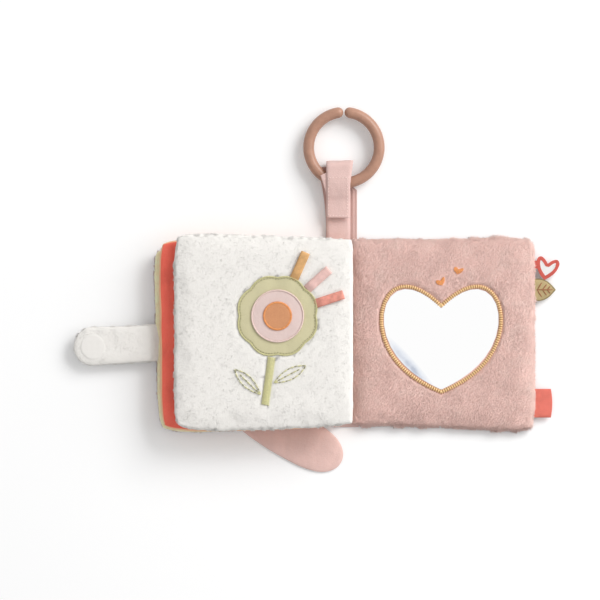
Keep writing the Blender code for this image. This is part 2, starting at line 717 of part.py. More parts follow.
def make_white_leaf(empty):
    front, back = make_board(
        "white_leaf", WHITE,
        ("white_leaf_front_panel", WHITE_PLUSH), ("white_leaf_back_panel", WHITE_PLUSH), empty,
    )
    top = WHITE_MIDDLE + BOARD_HALF_THICKNESS
    floor = top - PATCH_POCKET
    seat = floor + CLEARANCE
    pocket = scalloped_outline(FLOWER_RADIUS + 2 * CLEARANCE)
    cut(front, "flower_pocket", outline_mesh([pocket], floor, top + CUT_OVERRUN))
    cut(front, "stem_pocket", outline_mesh([stem_outline(CLEARANCE)], floor, top + CUT_OVERRUN))
    flower_patches(empty, seat)
    mesh = outline_mesh([stem_outline()], seat, seat + PATCH_THICKNESS)
    add_piece("flower_stem", mesh, principled("flower_stem", GREEN, 0.8), empty)
    for name, turn in RIBBONS:
        make_ribbon(name, turn, empty)
    half = BOARD_DEPTH / 2 - SPINE_GATHER - SPINE_END_INSET
    tape_x = WHITE_ROOT_X + CLEARANCE + TAPE_THICKNESS / 2
    start = (tape_x, WHITE_MIDDLE - SEAM_HALF_THICKNESS)
    end = (tape_x - TAPE_THICKNESS, HINGE_Z + TAPE_THICKNESS)
    middle = ((start[0] + end[0]) / 2, (start[1] + end[1]) / 2)
    mesh = band([start, middle, end], TAPE_THICKNESS, -half, half, along_y=False, cells=4)
    add_piece("white_leaf_hinge_tape", mesh, principled("white_leaf_hinge_tape", WHITE_PLUSH, 0.9), empty)


def strap_slab(start, length, round_end):
    """A stretch of the closure strap, which runs to -X; a round end closes the last one."""
    def place(u, v, level):
        along = (u + 1) / 2
        end = length
        if round_end:
            end = length - STRAP_TIP_HALF_WIDTH * (1 - math.sqrt(max(0, 1 - v * v)))
        reach = start + along * (end - start)
        share = reach / STRAP_LENGTH
        half_width = STRAP_HALF_WIDTH + (STRAP_TIP_HALF_WIDTH - STRAP_HALF_WIDTH) * share
        centre_y = STRAP_ROOT_Y + (STRAP_TIP_Y - STRAP_ROOT_Y) * share
        end_crown = abs(along) if round_end else 0
        height = STRAP_EDGE_HALF_THICKNESS
        height += (STRAP_THICKNESS / 2 - STRAP_EDGE_HALF_THICKNESS) * crown(end_crown, v, STRAP_CROWN_POWER)
        side = height if level == 1 else -height
        return STRAP_START_X - reach, centre_y + v * half_width, COVER_MIDDLE + side
    return shaped_slab((STRAP_CELLS, STRAP_CELLS), place)


def make_closure(cover_empty):
    root_empty = axis_empty("closure_root_axis", (STRAP_START_X, STRAP_ROOT_Y, STRAP_TOP), cover_empty)
    tip_empty = axis_empty("closure_tip_axis", (STRAP_FOLD_X, STRAP_TIP_Y, STRAP_TOP), root_empty)
    mesh = strap_slab(0.0, STRAP_ROOT_LENGTH, False)
    add_piece("closure_strap_root", mesh, principled("closure_strap_root", WHITE_PLUSH, 0.95), root_empty)
    mesh = strap_slab(STRAP_ROOT_LENGTH + CLEARANCE, STRAP_LENGTH, True)
    tip = add_piece("closure_strap_tip", mesh, principled("closure_strap_tip", WHITE_PLUSH, 0.95), tip_empty)
    floor = STRAP_TOP - PATCH_POCKET
    centre = (HOOK_X, STRAP_TIP_Y)
    pocket = round_outline(centre, HOOK_RADIUS + CLEARANCE)
    cut(tip, "hook_pocket", outline_mesh([pocket], floor, STRAP_TOP + CUT_OVERRUN))
    seat = floor + CLEARANCE
    mesh = outline_mesh([round_outline(centre, HOOK_RADIUS)], seat, seat + HOOK_THICKNESS)
    add_piece("closure_hook_dot", mesh, principled("closure_hook_dot", HOOK_WHITE, 0.7), tip_empty)


def petal_outline(grow=0.0):
    """A long petal with a round tip; its root is near the hinge line."""
    half_shares = (
        (0.00, 0.42), (0.06, 0.60), (0.16, 0.74), (0.30, 0.88), (0.45, 0.97), (0.60, 1.00),
        (0.74, 0.98), (0.85, 0.87), (0.92, 0.70), (0.97, 0.45), (0.995, 0.16),
    )
    along = Vector((math.cos(PETAL_ANGLE), math.sin(PETAL_ANGLE)))
    across = Vector((-along.y, along.x))
    root = Vector((PETAL_TIP_X, PETAL_TIP_Y)) - along * PETAL_LENGTH
    right = [root + along * s * PETAL_LENGTH - across * w * (PETAL_HALF_WIDTH - grow) for s, w in half_shares]
    left = [root + along * s * PETAL_LENGTH + across * w * (PETAL_HALF_WIDTH - grow) for s, w in half_shares]
    return [tuple(point) for point in right + left[::-1]]


def make_petal(cover_empty):
    along = Vector((math.cos(PETAL_ANGLE), math.sin(PETAL_ANGLE)))
    hinge = Vector((PETAL_TIP_X, PETAL_TIP_Y)) - along * (PETAL_LENGTH + PETAL_HINGE_OFFSET)
    height = 2 * PETAL_LAYER + 2 * CLEARANCE
    empty = axis_empty("petal_flap_axis", (hinge.x, hinge.y, height), cover_empty)
    mesh = outline_mesh([petal_outline()], 0.0, PETAL_LAYER)
    add_piece("petal_front_layer", mesh, principled("petal_front_layer", VELVET_PINK, 0.9), empty)
    low = PETAL_LAYER + CLEARANCE
    mesh = outline_mesh([petal_outline(CLEARANCE)], low, low + PETAL_LAYER)
    add_piece("petal_back_layer", mesh, principled("petal_back_layer", VELVET_PINK, 0.9), empty)


HANG_HINGE_Y = HANG_Y + HANG_HINGE_OFFSET
BACK_RUN_LOW = CLEARANCE
RING_Z = BACK_RUN_LOW + HANG_LAYER + CLEARANCE + RING_TUBE_RADIUS
FRONT_RUN_LOW = BACK_RUN_LOW + HANG_LAYER + CLEARANCE
LOOP_PAD_LOW = FRONT_RUN_LOW + HANG_LAYER + CLEARANCE
HOOK_PAD_LOW = LOOP_PAD_LOW + PAD_THICKNESS + CLEARANCE
TAB_LOW = HOOK_PAD_LOW + PAD_THICKNESS + CLEARANCE
TAB_OVER_RING = RING_Z + RING_TUBE_RADIUS + 2 * CLEARANCE + HANG_LAYER / 2


def strap_box(low_y, high_y, half_width, low_z, thickness, centre=HANG_X, lean=0.0):
    middle_z = low_z + thickness / 2
    route = [(low_y, middle_z), ((low_y + high_y) / 2, middle_z), (high_y, middle_z)]
    return band(route, thickness, centre - half_width, centre + half_width, cells=4, lean=lean)


def tab_route():
    """Side view of the tab: up round the bight, over the ring and down to its end."""
    back_middle = BACK_RUN_LOW + HANG_LAYER / 2
    end_middle = TAB_LOW + HANG_LAYER / 2
    reach = RING_TUBE_RADIUS
    bight_y = BACK_RUN_END_Y + BIGHT_REACH
    ring_low_y = RING_Y - RING_RADIUS
    return [
        (BACK_RUN_END_Y + CLEARANCE, back_middle),
        (BACK_RUN_END_Y + HANG_LAYER, back_middle),
        (bight_y, back_middle + HANG_LAYER),
        (bight_y + CLEARANCE, RING_Z),
        (bight_y - HANG_LAYER, TAB_OVER_RING - HANG_LAYER / 4),
        (ring_low_y + 2 * reach, TAB_OVER_RING),
        (ring_low_y, TAB_OVER_RING),
        (ring_low_y - 2 * reach, TAB_OVER_RING - reach / 2),
        (PAD_HIGH_Y, end_middle),
        ((PAD_HIGH_Y + PAD_LOW_Y) / 2, end_middle),
        (TAB_END_Y, end_middle),
    ]


def make_ring(empty):
    """A split ring: one tube with two round ends that nearly meet at the top."""
    curve = bpy.data.curves.new("ring_curve", "CURVE")
    curve.dimensions = "3D"
    curve.bevel_depth = RING_TUBE_RADIUS
    curve.bevel_resolution = 4
    curve.use_fill_caps = True
    spline = curve.splines.new("POLY")
    spline.points.add(RING_POINTS - 1)
    half_gap = RING_GAP / 2 / RING_RADIUS
    first = math.pi / 2 + half_gap
    sweep = 2 * math.pi - 2 * half_gap
    cap = RING_TUBE_RADIUS / (RING_RADIUS * sweep)
    cap_steps = 4
    for step, point in enumerate(spline.points):
        near = min(step, RING_POINTS - 1 - step)
        share = step / (RING_POINTS - 1)
        if near < cap_steps:
            dome = near / cap_steps * math.pi / 2
            depth = cap * (1 - math.cos(dome))
            share = depth if step == near else 1 - depth
            point.radius = max(math.sin(dome), 1 / (2 * cap_steps))
        turn = first + sweep * share
        x = RING_X + RING_RADIUS * math.cos(turn)
        y = RING_Y + RING_RADIUS * math.sin(turn)
        point.co = (x, y, RING_Z, 1)
    mesh = curve_to_mesh(curve, Vector((0, 0, 0)))
    add_piece("ring", mesh, principled("ring", RING_BROWN, 0.4), empty)


def make_hanging_strap():
    middle = BACK_RUN_LOW + HANG_LAYER / 2
    strap_empty = axis_empty("hanging_strap_axis", (HANG_X, HANG_HINGE_Y, middle))
    tab_place = (HANG_X, BACK_RUN_END_Y + CLEARANCE, BACK_RUN_LOW)
    tab_empty = axis_empty("strap_tab_axis", tab_place, strap_empty)
    ring_empty = axis_empty("ring_axis", (RING_X, RING_Y, RING_Z), strap_empty)
    back_run = strap_box(
        HANG_Y, BACK_RUN_END_Y, BACK_RUN_HALF_WIDTH, BACK_RUN_LOW, HANG_LAYER, BACK_RUN_X, BACK_RUN_LEAN
    )
    front_run = strap_box(HANG_HINGE_Y, FRONT_RUN_END_Y, HANG_HALF_WIDTH, FRONT_RUN_LOW, HANG_LAYER)
    loop_pad = strap_box(PAD_LOW_Y, PAD_HIGH_Y, PAD_HALF_WIDTH, LOOP_PAD_LOW, PAD_THICKNESS)
    hook_pad = strap_box(PAD_LOW_Y, PAD_HIGH_Y, PAD_HALF_WIDTH, HOOK_PAD_LOW, PAD_THICKNESS)
    tab = band(
        tab_route(), HANG_LAYER, HANG_X - HANG_HALF_WIDTH, HANG_X + HANG_HALF_WIDTH, cells=TAB_CELLS
    )
    pieces = (
        ("strap_back_run", back_run, VELVET_PINK, strap_empty),
        ("strap_front_run", front_run, VELVET_PINK, strap_empty),
        ("strap_loop_pad", loop_pad, HOOK_WHITE, strap_empty),
        ("strap_hook_pad", hook_pad, HOOK_WHITE, tab_empty),
        ("strap_tab", tab, VELVET_PINK, tab_empty),
    )
    for name, mesh, colour, empty in pieces:
        add_piece(name, mesh, principled(name, colour, 0.9), empty)
    make_ring(ring_empty)


def build():
    cover_empty = axis_empty("cover_hinge_axis", (HINGE_X, 0.0, HINGE_Z))
    red_empty = axis_empty("red_leaf_axis", (HINGE_X, 0.0, HINGE_Z), cover_empty)
    white_empty = axis_empty("white_leaf_axis", (HINGE_X, 0.0, HINGE_Z), red_empty)
    make_back_cover()
    make_tabs()
    make_spine()
    make_front_cover(cover_empty)
    make_red_leaf(red_empty)
    make_white_leaf(white_empty)
    make_closure(cover_empty)
    make_petal(cover_empty)
    make_hanging_strap()


build()
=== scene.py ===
import math

import bmesh
import bpy
import numpy as np
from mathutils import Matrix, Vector
from mathutils.bvhtree import BVHTree


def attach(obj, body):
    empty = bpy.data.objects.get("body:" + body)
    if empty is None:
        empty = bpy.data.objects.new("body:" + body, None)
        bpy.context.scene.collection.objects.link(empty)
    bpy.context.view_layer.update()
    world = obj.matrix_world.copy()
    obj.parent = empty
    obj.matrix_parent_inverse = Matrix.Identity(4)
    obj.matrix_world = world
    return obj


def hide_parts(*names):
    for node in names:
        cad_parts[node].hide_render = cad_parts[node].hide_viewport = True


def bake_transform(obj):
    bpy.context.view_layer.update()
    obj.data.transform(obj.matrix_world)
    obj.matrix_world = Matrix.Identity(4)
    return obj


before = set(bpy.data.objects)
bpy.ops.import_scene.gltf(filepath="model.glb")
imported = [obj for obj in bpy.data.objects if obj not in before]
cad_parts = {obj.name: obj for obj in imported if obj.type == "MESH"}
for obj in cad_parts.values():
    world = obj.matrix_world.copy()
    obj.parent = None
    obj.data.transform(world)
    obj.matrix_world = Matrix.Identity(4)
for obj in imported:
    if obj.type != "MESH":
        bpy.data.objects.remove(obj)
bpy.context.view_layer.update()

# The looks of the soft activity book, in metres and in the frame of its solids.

TINY = 1e-12
TINY_AREA = 1e-15

# Boards, as in the source of the solids.
BOARD_WIDTH = 0.136
BOARD_DEPTH = 0.1455
BOARD_HALF_THICKNESS = 0.0042
CORNER_RADIUS = 0.016
SPINE_CORNER_SHARE = 0.2
SIDE_DRAW_IN = 0.0013
CROWN_POWER = 6
SPINE_CROWN_POWER = 16
CORNER_POWER = 6
BACK_ROOT_X = 0.0003
WHITE_ROOT_X = -0.001
RED_ROOT_X = -0.010
COVER_ROOT_X = -0.015
SPINE_GATHER = 0.0028
WHITE_ROOT_SHIFT_Y = 0.0012
WHITE_SHIFT_Y = 0.0016
WHITE_SPREAD = 0.0019
RED_SHIFT_Y = -0.001
COVER_SHIFT_Y = -0.005
COVER_SPREAD = -0.0020
BACK_SHIFT_Y = -0.0012
BACK_SPREAD = 0.0012
BACK_ROOT_SHIFT_Y = 0.0006
# How far the lower and the upper side of a board bulge, and how its fore-edge reaches out and slants.
WHITE_BULGES = (0.0019, 0.0)
RED_BULGES = (0.0019, -0.0008)
RED_REACH = 0.0020
RED_SKEW = 0.0007
COVER_BULGES = (0.0010, -0.0008)
COVER_SKEW = 0.0022
BACK_MIDDLE = 0.0037
COVER_MIDDLE = 0.0072
RED_MIDDLE = 0.0161
WHITE_MIDDLE = 0.0250
HINGE_X = -0.005

# Pillows of the boards.
PILLOW_COLUMNS = 40
PILLOW_ROWS = 42
EDGE_SPACING_SHARE = 0.5
PILLOW_RIM_HALF = 0.0014
PILLOW_START_SHARE = 0.86
PILLOW_PRESSURE = 4.0
PILLOW_LAST_FRAME = 20
PILLOW_CLOTH_EXCESS = -0.012
PILLOW_CLOTH_SHARE = 0.4
PILLOW_MOVE_CAP = 0.0014
PILLOW_SPARE = 0.0002
PILLOW_RUFFLE = 0.00025
PILLOW_EDGE_RUFFLE = 0.0006
BACK_ROOT_REACH = 0.0042
BACK_ROOT_STRETCH = 0.020
RUFFLE_SIZE = 0.012
PRESS_MARGIN = 0.0012

# Heart mirror.
MIRROR_X = 0.0648
MIRROR_Y = -0.0046
MIRROR_WIDTH = 0.0926
MIRROR_HEIGHT = 0.0820
MIRROR_BORDER = 0.003
MIRROR_SEAT = 0.0073
MIRROR_SINK = 0.0002
SMALL_HEART_WIDTH = 0.0074
SMALL_HEART_HEIGHT = 0.0059
SMALL_HEARTS = (
    ("small_heart_right", 0.0775, 0.0467, math.radians(-14)),
    ("small_heart_left", 0.0647, 0.0383, math.radians(24)),
)
# How deeply each heart's lobes are parted, and the finer waves that make its sides plump.
MIRROR_NOTCH_SHARE = 0.26
SMALL_HEART_NOTCH_SHARE = 0.50
HEART_TAB_NOTCH_SHARE = 0.45
HEART_WAVE_SHARES = (0.18, 0.03)

# Flower, stem and ribbons.
FLOWER_X = -0.058
FLOWER_Y = 0.013
FLOWER_RADIUS = 0.029
FLOWER_SCALLOP = 0.002
FLOWER_LOBES = 8
RING_PATCH_RADIUS = 0.0195
CENTRE_PATCH_RADIUS = 0.0105
FLOWER_SEAT = 0.0290
PATCH_STEP = 0.0008
PATCH_THICKNESS = 0.0005
PATCH_FULLNESS = 0.0003
PATCH_SINK = 0.0002
PRESSED_SINK = 0.0003
STEM_WIDTH = 0.0065
STEM_LENGTH = 0.036
STEM_LEAN = math.radians(-8)
RIBBON_WIDTH = 0.0068
RIBBON_LENGTH = 0.0195

# Closure strap.
STRAP_START_X = -0.150068
STRAP_FOLD_X = -0.181668
STRAP_END_X = -0.211268
STRAP_ROOT_Y = -0.0072
STRAP_TIP_Y = -0.0104
STRAP_HALF_WIDTH = 0.0140
STRAP_TIP_HALF_WIDTH = 0.0148
STRAP_HALF_THICKNESS = 0.0020
HOOK_X = -0.196668
HOOK_RADIUS = 0.0093
LOOP_X = 0.12008
LOOP_RADIUS = 0.012
LOOP_SEAT = 0.0013

# Petal flap.
PETAL_TIP_X = -0.0101
PETAL_TIP_Y = -0.09725
PETAL_ANGLE = math.radians(-28)
PETAL_LENGTH = 0.0985
PETAL_HALF_WIDTH = 0.0176
PETAL_THICKNESS = 0.0025

# Hanging strap and ring.
HANG_Y = 0.0733
HANG_HINGE_Y = 0.0773
HANG_X = -0.0125
HANG_HALF_WIDTH = 0.0090
HANG_LAYER = 0.0018
BACK_RUN_X = -0.0100
BACK_RUN_HALF_WIDTH = 0.0116
BACK_RUN_FLARE = 0.0066
BACK_RUN_TUCK = 0.0080
BACK_RUN_TUCK_Y = 0.1075
BACK_RUN_TUCK_LENGTH = 0.0070
BACK_RUN_END_Y = 0.125
BACK_RUN_FOLD = 0.0030
BACK_RUN_FOLD_RISE = 0.0004
TAB_SLANT_Y = 0.112
TAB_SLANT = 0.09
TAB_FLARE = 0.0022
FOLD_LOW_Y = 0.0975
FOLD_HIGH_Y = 0.1216
FOLD_WIDTH = 0.0062
FOLD_DROP_SHARE = 0.45
FOLD_LEAST_SHARE = 0.1
FRONT_RUN_END_Y = 0.104
TAB_END_Y = 0.0867
PAD_HALF_WIDTH = 0.0070
PAD_LOW_Y = 0.0885
PAD_HIGH_Y = 0.1010
RING_X = -0.00825
RING_Y = 0.1395
RING_Z = 0.0065
RING_RADIUS = 0.0265
RING_TUBE_RADIUS = 0.0041
RING_GAP = 0.0008
RING_SIDES = 24
RING_DOME_STEPS = 8
RING_STEPS = 120
RING_TIP_SHARE = 0.02

# Tabs in the fore-edge of the back cover.
TAB_LOW_Z = 0.0032
TAB_HIGH_Z = 0.0042
HEART_TAB_ROOT_X = 0.135763
HEART_TAB_X = 0.144263
HEART_TAB_Y = 0.0482
HEART_TAB_WIDTH = 0.0165
HEART_TAB_HEIGHT = 0.0162
HEART_TAB_TILT = math.radians(-12)
STALK_LOW_Y = 0.0484
STALK_HIGH_Y = 0.0546
LEAF_TAB_ROOT_X = 0.135677
LEAF_TAB_Y = 0.0326
LEAF_TAB_LENGTH = 0.0150
LEAF_TAB_HALF_WIDTH = 0.0080
LABEL_TAB_ROOT_X = 0.135696
LABEL_TAB_Y = -0.0527
LABEL_TAB_LENGTH = 0.0128
LABEL_TAB_HALF_WIDTH = 0.0108


SCREEN_TOP = 255
SCREEN_OFFSET_SHARE = 0.055
SCREEN_GAMMA = 2.4


def srgb(red, green, blue):
    """A colour as a screen shows it, from 0 to 255, as the shaders want it."""
    shares = (red / SCREEN_TOP, green / SCREEN_TOP, blue / SCREEN_TOP)
    offset = SCREEN_OFFSET_SHARE
    return tuple(((share + offset) / (1 + offset)) ** SCREEN_GAMMA for share in shares)


# Materials

MID_GREY = (0.5, 0.5, 0.5)
# The mix node's sockets for its share and its two colours, and for the mixed colour.
MIX_INPUTS = (0, 6, 7)
MIX_OUTPUT = 2
# The wave texture has one band in a metre at this scale.
WAVE_SCALE = math.pi / 10
WEAVE_DISTORTION = 0.6
# How long the grain of each kind of surface is: its patches, its strands or threads, and its relief.
PILE_GRAINS = (0.014, 0.0012, 0.0008)
VELVET_GRAINS = (0.011, 0.0007, 0.0006)
VELVET_BRUSH_SHARES = (1, 0.45, 1)
VELVET_DEPTH = 0.00025
VELVET_WAVE_GRAIN = 0.006
VELVET_WAVE_DEPTH = 0.0008
WOVEN_PITCH = 0.0006
FINE_PITCH = 0.0005
WOVEN_PATCH_GRAIN = 0.007
WOVEN_DEPTH = 0.0002
THREAD_GRAINS = (0.0011, 0.00025)
THREAD_DEPTH = 0.0001
SATIN_GRAINS = (0.003, 0.0004)
SATIN_DEPTH = 0.00012
# Where the painted grey-blue reflection streak on the mirror film lies, how far it reaches, how it turns, and
# the grain that breaks it up.
REFLECTION_STREAK_PLACE = (0.0430, -0.0268)
REFLECTION_STREAK_REACH = (0.036, 0.0055)
REFLECTION_STREAK_TURN = math.radians(-49)
REFLECTION_STREAK_GRAIN = 0.010
FILM_GRAIN = 0.020
FILM_DEPTH = 0.0006
PLASTIC_GRAINS = (0.004, 0.0015)
PLASTIC_DEPTH = 0.00008
HOOK_PITCH = 0.0009
HOOK_DEPTH = 0.0001
WHITE_PILE_DEPTH = 0.00012


def add_node(tree, kind, inputs=None, **settings):
    """A new node with these settings, whose inputs get a value or a link from another node."""
    made = tree.nodes.new(kind)
    for setting, value in settings.items():
        setattr(made, setting, value)
    for socket, value in (inputs or {}).items():
        if isinstance(value, bpy.types.NodeSocket):
            tree.links.new(value, made.inputs[socket])
        else:
            made.inputs[socket].default_value = value
    return made


class Finish:
    """A procedural material that is put together from noise, weave and bumps."""

    def __init__(self, name, roughness, specular=0.5, metallic=0.0, sheen=0.0, sheen_roughness=0.5):
        self.material = bpy.data.materials.new(name)
        self.material.use_nodes = True
        self.tree = self.material.node_tree
        self.shader = self.tree.nodes["Principled BSDF"]
        settings = {
            "Roughness": roughness, "Specular IOR Level": specular, "Metallic": metallic,
            "Sheen Weight": sheen, "Sheen Roughness": sheen_roughness,
        }
        for socket, value in settings.items():
            self.shader.inputs[socket].default_value = value
        self.place = self.node("ShaderNodeTexCoord").outputs["Object"]
        self.normal = None

    def node(self, kind, inputs=None, **settings):
        return add_node(self.tree, kind, inputs, **settings)

    def noise(self, grain, detail=2.0, stretch=(1, 1, 1)):
        """Noise whose grains are about this long; stretch shortens them along an axis."""
        mapping = self.node("ShaderNodeMapping", {"Vector": self.place, "Scale": stretch})
        inputs = {"Vector": mapping.outputs["Vector"], "Scale": 1 / grain, "Detail": detail}
        return self.node("ShaderNodeTexNoise", inputs).outputs["Fac"]

    def waves(self, pitch, axis, distortion=0.0):
        """Bands across an axis, one pitch apart."""
        inputs = {"Vector": self.place, "Scale": WAVE_SCALE / pitch, "Distortion": distortion}
        return self.node("ShaderNodeTexWave", inputs, bands_direction=axis).outputs["Fac"]

    def spot(self, centre, reach, turn):
        """1 at a place seen from above, falling to 0 at the edge of an ellipse round it."""
        settings = {
            "Vector": self.place, "Location": (*centre, 0), "Rotation": (0, 0, turn), "Scale": (*reach, 1),
        }
        mapping = self.node("ShaderNodeMapping", settings, vector_type="TEXTURE")
        inputs = {"Vector": mapping.outputs["Vector"]}
        return self.node("ShaderNodeTexGradient", inputs, gradient_type="SPHERICAL").outputs["Fac"]

    def ramp(self, factor, colours, start=0.3, end=0.7):
        """Colours spread evenly over a factor between start and end."""
        made = self.node("ShaderNodeValToRGB", {"Fac": factor})
        stops = made.color_ramp.elements
        while len(stops) < len(colours):
            stops.new(0.5)
        for place, (stop, colour) in enumerate(zip(stops, colours)):
            stop.position = start + (end - start) * place / (len(colours) - 1)
            stop.color = (*colour, 1.0)
        return made.outputs["Color"]

    def overlay(self, share, first, second):
        """Lays the second colour over the first by a share."""
        inputs = dict(zip(MIX_INPUTS, (share, first, second)))
        made = self.node("ShaderNodeMix", inputs, data_type="RGBA", blend_type="OVERLAY")
        return made.outputs[MIX_OUTPUT]

    def multiply(self, first, second):
        return self.node("ShaderNodeMath", {0: first, 1: second}, operation="MULTIPLY").outputs[0]

    def colour(self, socket):
        self.tree.links.new(socket, self.shader.inputs["Base Color"])
        return self

    def bump(self, height, depth, strength=1.0):
        inputs = {"Height": height, "Distance": depth, "Strength": strength}
        if self.normal is not None:
            inputs["Normal"] = self.normal
        self.normal = self.node("ShaderNodeBump", inputs).outputs["Normal"]
        self.tree.links.new(self.normal, self.shader.inputs["Normal"])
        return self


def tones(colour, spread):
    """A darker, the plain and a paler tone of one colour."""
    dark = tuple(channel * (1 - spread) for channel in colour)
    pale = tuple(min(1.0, channel * (1 + spread)) for channel in colour)
    return dark, colour, pale


def pile_finish(name, colour, patch_spread, strand_spread, sheen=0.25, depth=0.0004):
    """Plush and fleece: soft patches, and every strand a little different."""
    patch_grain, strand_grain, relief_grain = PILE_GRAINS
    finish = Finish(name, roughness=0.95, specular=0.15, sheen=sheen, sheen_roughness=0.6)
    patches = finish.ramp(finish.noise(patch_grain, detail=3.0), tones(colour, patch_spread))
    strands = finish.ramp(finish.noise(strand_grain, detail=1.0), tones(MID_GREY, strand_spread))
    return finish.colour(finish.overlay(1.0, patches, strands)).bump(finish.noise(relief_grain), depth)


def velvet_finish(name, colour, spread):
    """Short velvet: brushed patches, and a fine pile in the bump."""
    patch_grain, fine_grain, relief_grain = VELVET_GRAINS
    finish = Finish(name, roughness=0.9, specular=0.2, sheen=0.35, sheen_roughness=0.45)
    brushed = finish.ramp(finish.noise(patch_grain, 4.0, VELVET_BRUSH_SHARES), tones(colour, spread))
    fine = finish.ramp(finish.noise(fine_grain, detail=1.0), tones(MID_GREY, spread))
    finish.colour(finish.overlay(0.7, brushed, fine))
    finish.bump(finish.noise(relief_grain), VELVET_DEPTH)
    return finish.bump(finish.noise(VELVET_WAVE_GRAIN), VELVET_WAVE_DEPTH, strength=0.5)


def woven_finish(name, colour, pitch=WOVEN_PITCH, spread=0.14):
    """Plain weave: bands in both directions."""
    finish = Finish(name, roughness=0.85, specular=0.25, sheen=0.15)
    bands = [finish.waves(pitch, axis, WEAVE_DISTORTION) for axis in "XY"]
    weave = finish.multiply(*bands)
    patches = finish.ramp(finish.noise(WOVEN_PATCH_GRAIN, detail=3.0), tones(colour, spread))
    threads = finish.ramp(weave, tones(MID_GREY, spread), 0.0, 1.0)
    finish.colour(finish.overlay(0.8, patches, threads))
    return finish.bump(weave, WOVEN_DEPTH)


def thread_finish(name, colour, spread=0.18):
    """Satin-stitch thread, with a soft shine."""
    tone_grain, relief_grain = THREAD_GRAINS
    finish = Finish(name, roughness=0.42, specular=0.45, sheen=0.2, sheen_roughness=0.4)
    finish.colour(finish.ramp(finish.noise(tone_grain), tones(colour, spread)))
    return finish.bump(finish.noise(relief_grain, detail=1.0), THREAD_DEPTH)


def satin_finish(name, colour, spread=0.15):
    """Folded satin ribbon: fine lines across it and a gentle shine."""
    tone_grain, relief_grain = SATIN_GRAINS
    finish = Finish(name, roughness=0.45, specular=0.4, sheen=0.15, sheen_roughness=0.4)
    finish.colour(finish.ramp(finish.noise(tone_grain, detail=3.0), tones(colour, spread)))
    return finish.bump(finish.noise(relief_grain, detail=1.0), SATIN_DEPTH)


def mirror_finish(name):
    """Mirror film: bright, a little wavy, with a painted grey-blue reflection streak near its lower left
    edge.
    """
    finish = Finish(name, roughness=0.05, metallic=1.0)
    # The grey-blue streak is a painted reflection, laid into the film's colour and broken up by noise.
    painted_reflection = finish.spot(REFLECTION_STREAK_PLACE, REFLECTION_STREAK_REACH, REFLECTION_STREAK_TURN)
    reflection_gaps = finish.ramp(finish.noise(REFLECTION_STREAK_GRAIN, detail=3.0), (MID_GREY, (1.0,) * 3))
    colours = (srgb(253, 253, 253), srgb(232, 236, 243), srgb(196, 203, 217))
    finish.colour(finish.ramp(finish.multiply(painted_reflection, reflection_gaps), colours, 0.0, 0.7))
    return finish.bump(finish.noise(FILM_GRAIN, detail=1.0), FILM_DEPTH, strength=0.35)


def plastic_finish(name, colour):
    """Moulded plastic, faintly mottled."""
    tone_grain, relief_grain = PLASTIC_GRAINS
    finish = Finish(name, roughness=0.34, specular=0.4)
    finish.colour(finish.ramp(finish.noise(tone_grain, detail=3.0), tones(colour, 0.08)))
    return finish.bump(finish.noise(relief_grain), PLASTIC_DEPTH, strength=0.6)


def hook_finish(name, colour):
    """Hook-and-loop tape: a fine grid of hooks."""
    finish = Finish(name, roughness=0.8, sheen=0.1)
    grid = finish.multiply(finish.waves(HOOK_PITCH, "X"), finish.waves(HOOK_PITCH, "Y"))
    finish.colour(finish.ramp(grid, tones(colour, 0.03), 0.0, 1.0))
    return finish.bump(grid, HOOK_DEPTH)


PINK_PILE = pile_finish("pink_pile", srgb(255, 217, 207), 0.04, 0.05, sheen=0.05)
WHITE_PILE = pile_finish("white_pile", srgb(243, 240, 235), 0.01, 0.01, depth=WHITE_PILE_DEPTH)
CORAL = velvet_finish("coral_velvet", srgb(250, 113, 95), 0.14)
PEACH = velvet_finish("peach_velvet", srgb(240, 190, 150), 0.08)
GREEN = woven_finish("green_fabric", srgb(255, 244, 204))
PINK_VELVET = velvet_finish("pink_velvet", srgb(227, 194, 187), 0.05)
# The back run's velvet is the pink velvet coloured darker: painted shade on the lower run of the strap.
SHADED_WEBBING = velvet_finish("webbing_painted_shade", srgb(208, 172, 164), 0.05)
PETAL_PINK = velvet_finish("petal_velvet", srgb(233, 197, 188), 0.06)
FLOWER_GREEN = velvet_finish("flower_green", srgb(209, 202, 164), 0.05)
RING_PINK = velvet_finish("ring_pink", srgb(227, 204, 198), 0.04)
CENTRE_OCHRE = velvet_finish("centre_ochre", srgb(211, 150, 109), 0.07)
GOLD_THREAD = thread_finish("gold_thread", srgb(255, 220, 162), 0.06)
BROWN_THREAD = thread_finish("brown_thread", srgb(172, 106, 64))
ORANGE_THREAD = thread_finish("orange_thread", srgb(238, 160, 96))
PALE_GREEN_THREAD = thread_finish("pale_green_thread", srgb(216, 212, 160), 0.1)
DARK_GREEN_THREAD = thread_finish("dark_green_thread", srgb(150, 148, 104), 0.12)
PALE_PINK_THREAD = thread_finish("pale_pink_thread", srgb(240, 216, 208), 0.06)
CORAL_SATIN = satin_finish("coral_satin", srgb(226, 150, 134))
PINK_SATIN = satin_finish("pink_satin", srgb(232, 192, 184), 0.08)
OCHRE_SATIN = satin_finish("ochre_satin", srgb(214, 166, 110))
FELT_WHITE = woven_finish("felt_white", srgb(254, 253, 251), FINE_PITCH, 0.01)
CORAL_PRINT = woven_finish("coral_print", srgb(222, 104, 92), FINE_PITCH, 0.1)
LEAF_WEAVE = woven_finish("leaf_weave", srgb(206, 186, 138), FINE_PITCH, 0.12)
OLIVE_THREAD = thread_finish("olive_thread", srgb(140, 124, 82), 0.15)
VEIN_THREAD = thread_finish("vein_thread", srgb(160, 104, 64), 0.15)
LABEL_CORAL = woven_finish("label_coral", srgb(248, 133, 117), FINE_PITCH, 0.08)
HOOK_WHITE = hook_finish("hook_white", srgb(243, 240, 235))
RING_BROWN = plastic_finish("ring_plastic", srgb(177, 134, 113))
MIRROR = mirror_finish("mirror_film")


# Helpers for meshes

def put_in_scene(name, data):
    made = bpy.data.objects.new(name, data)
    bpy.context.scene.collection.objects.link(made)
    return made


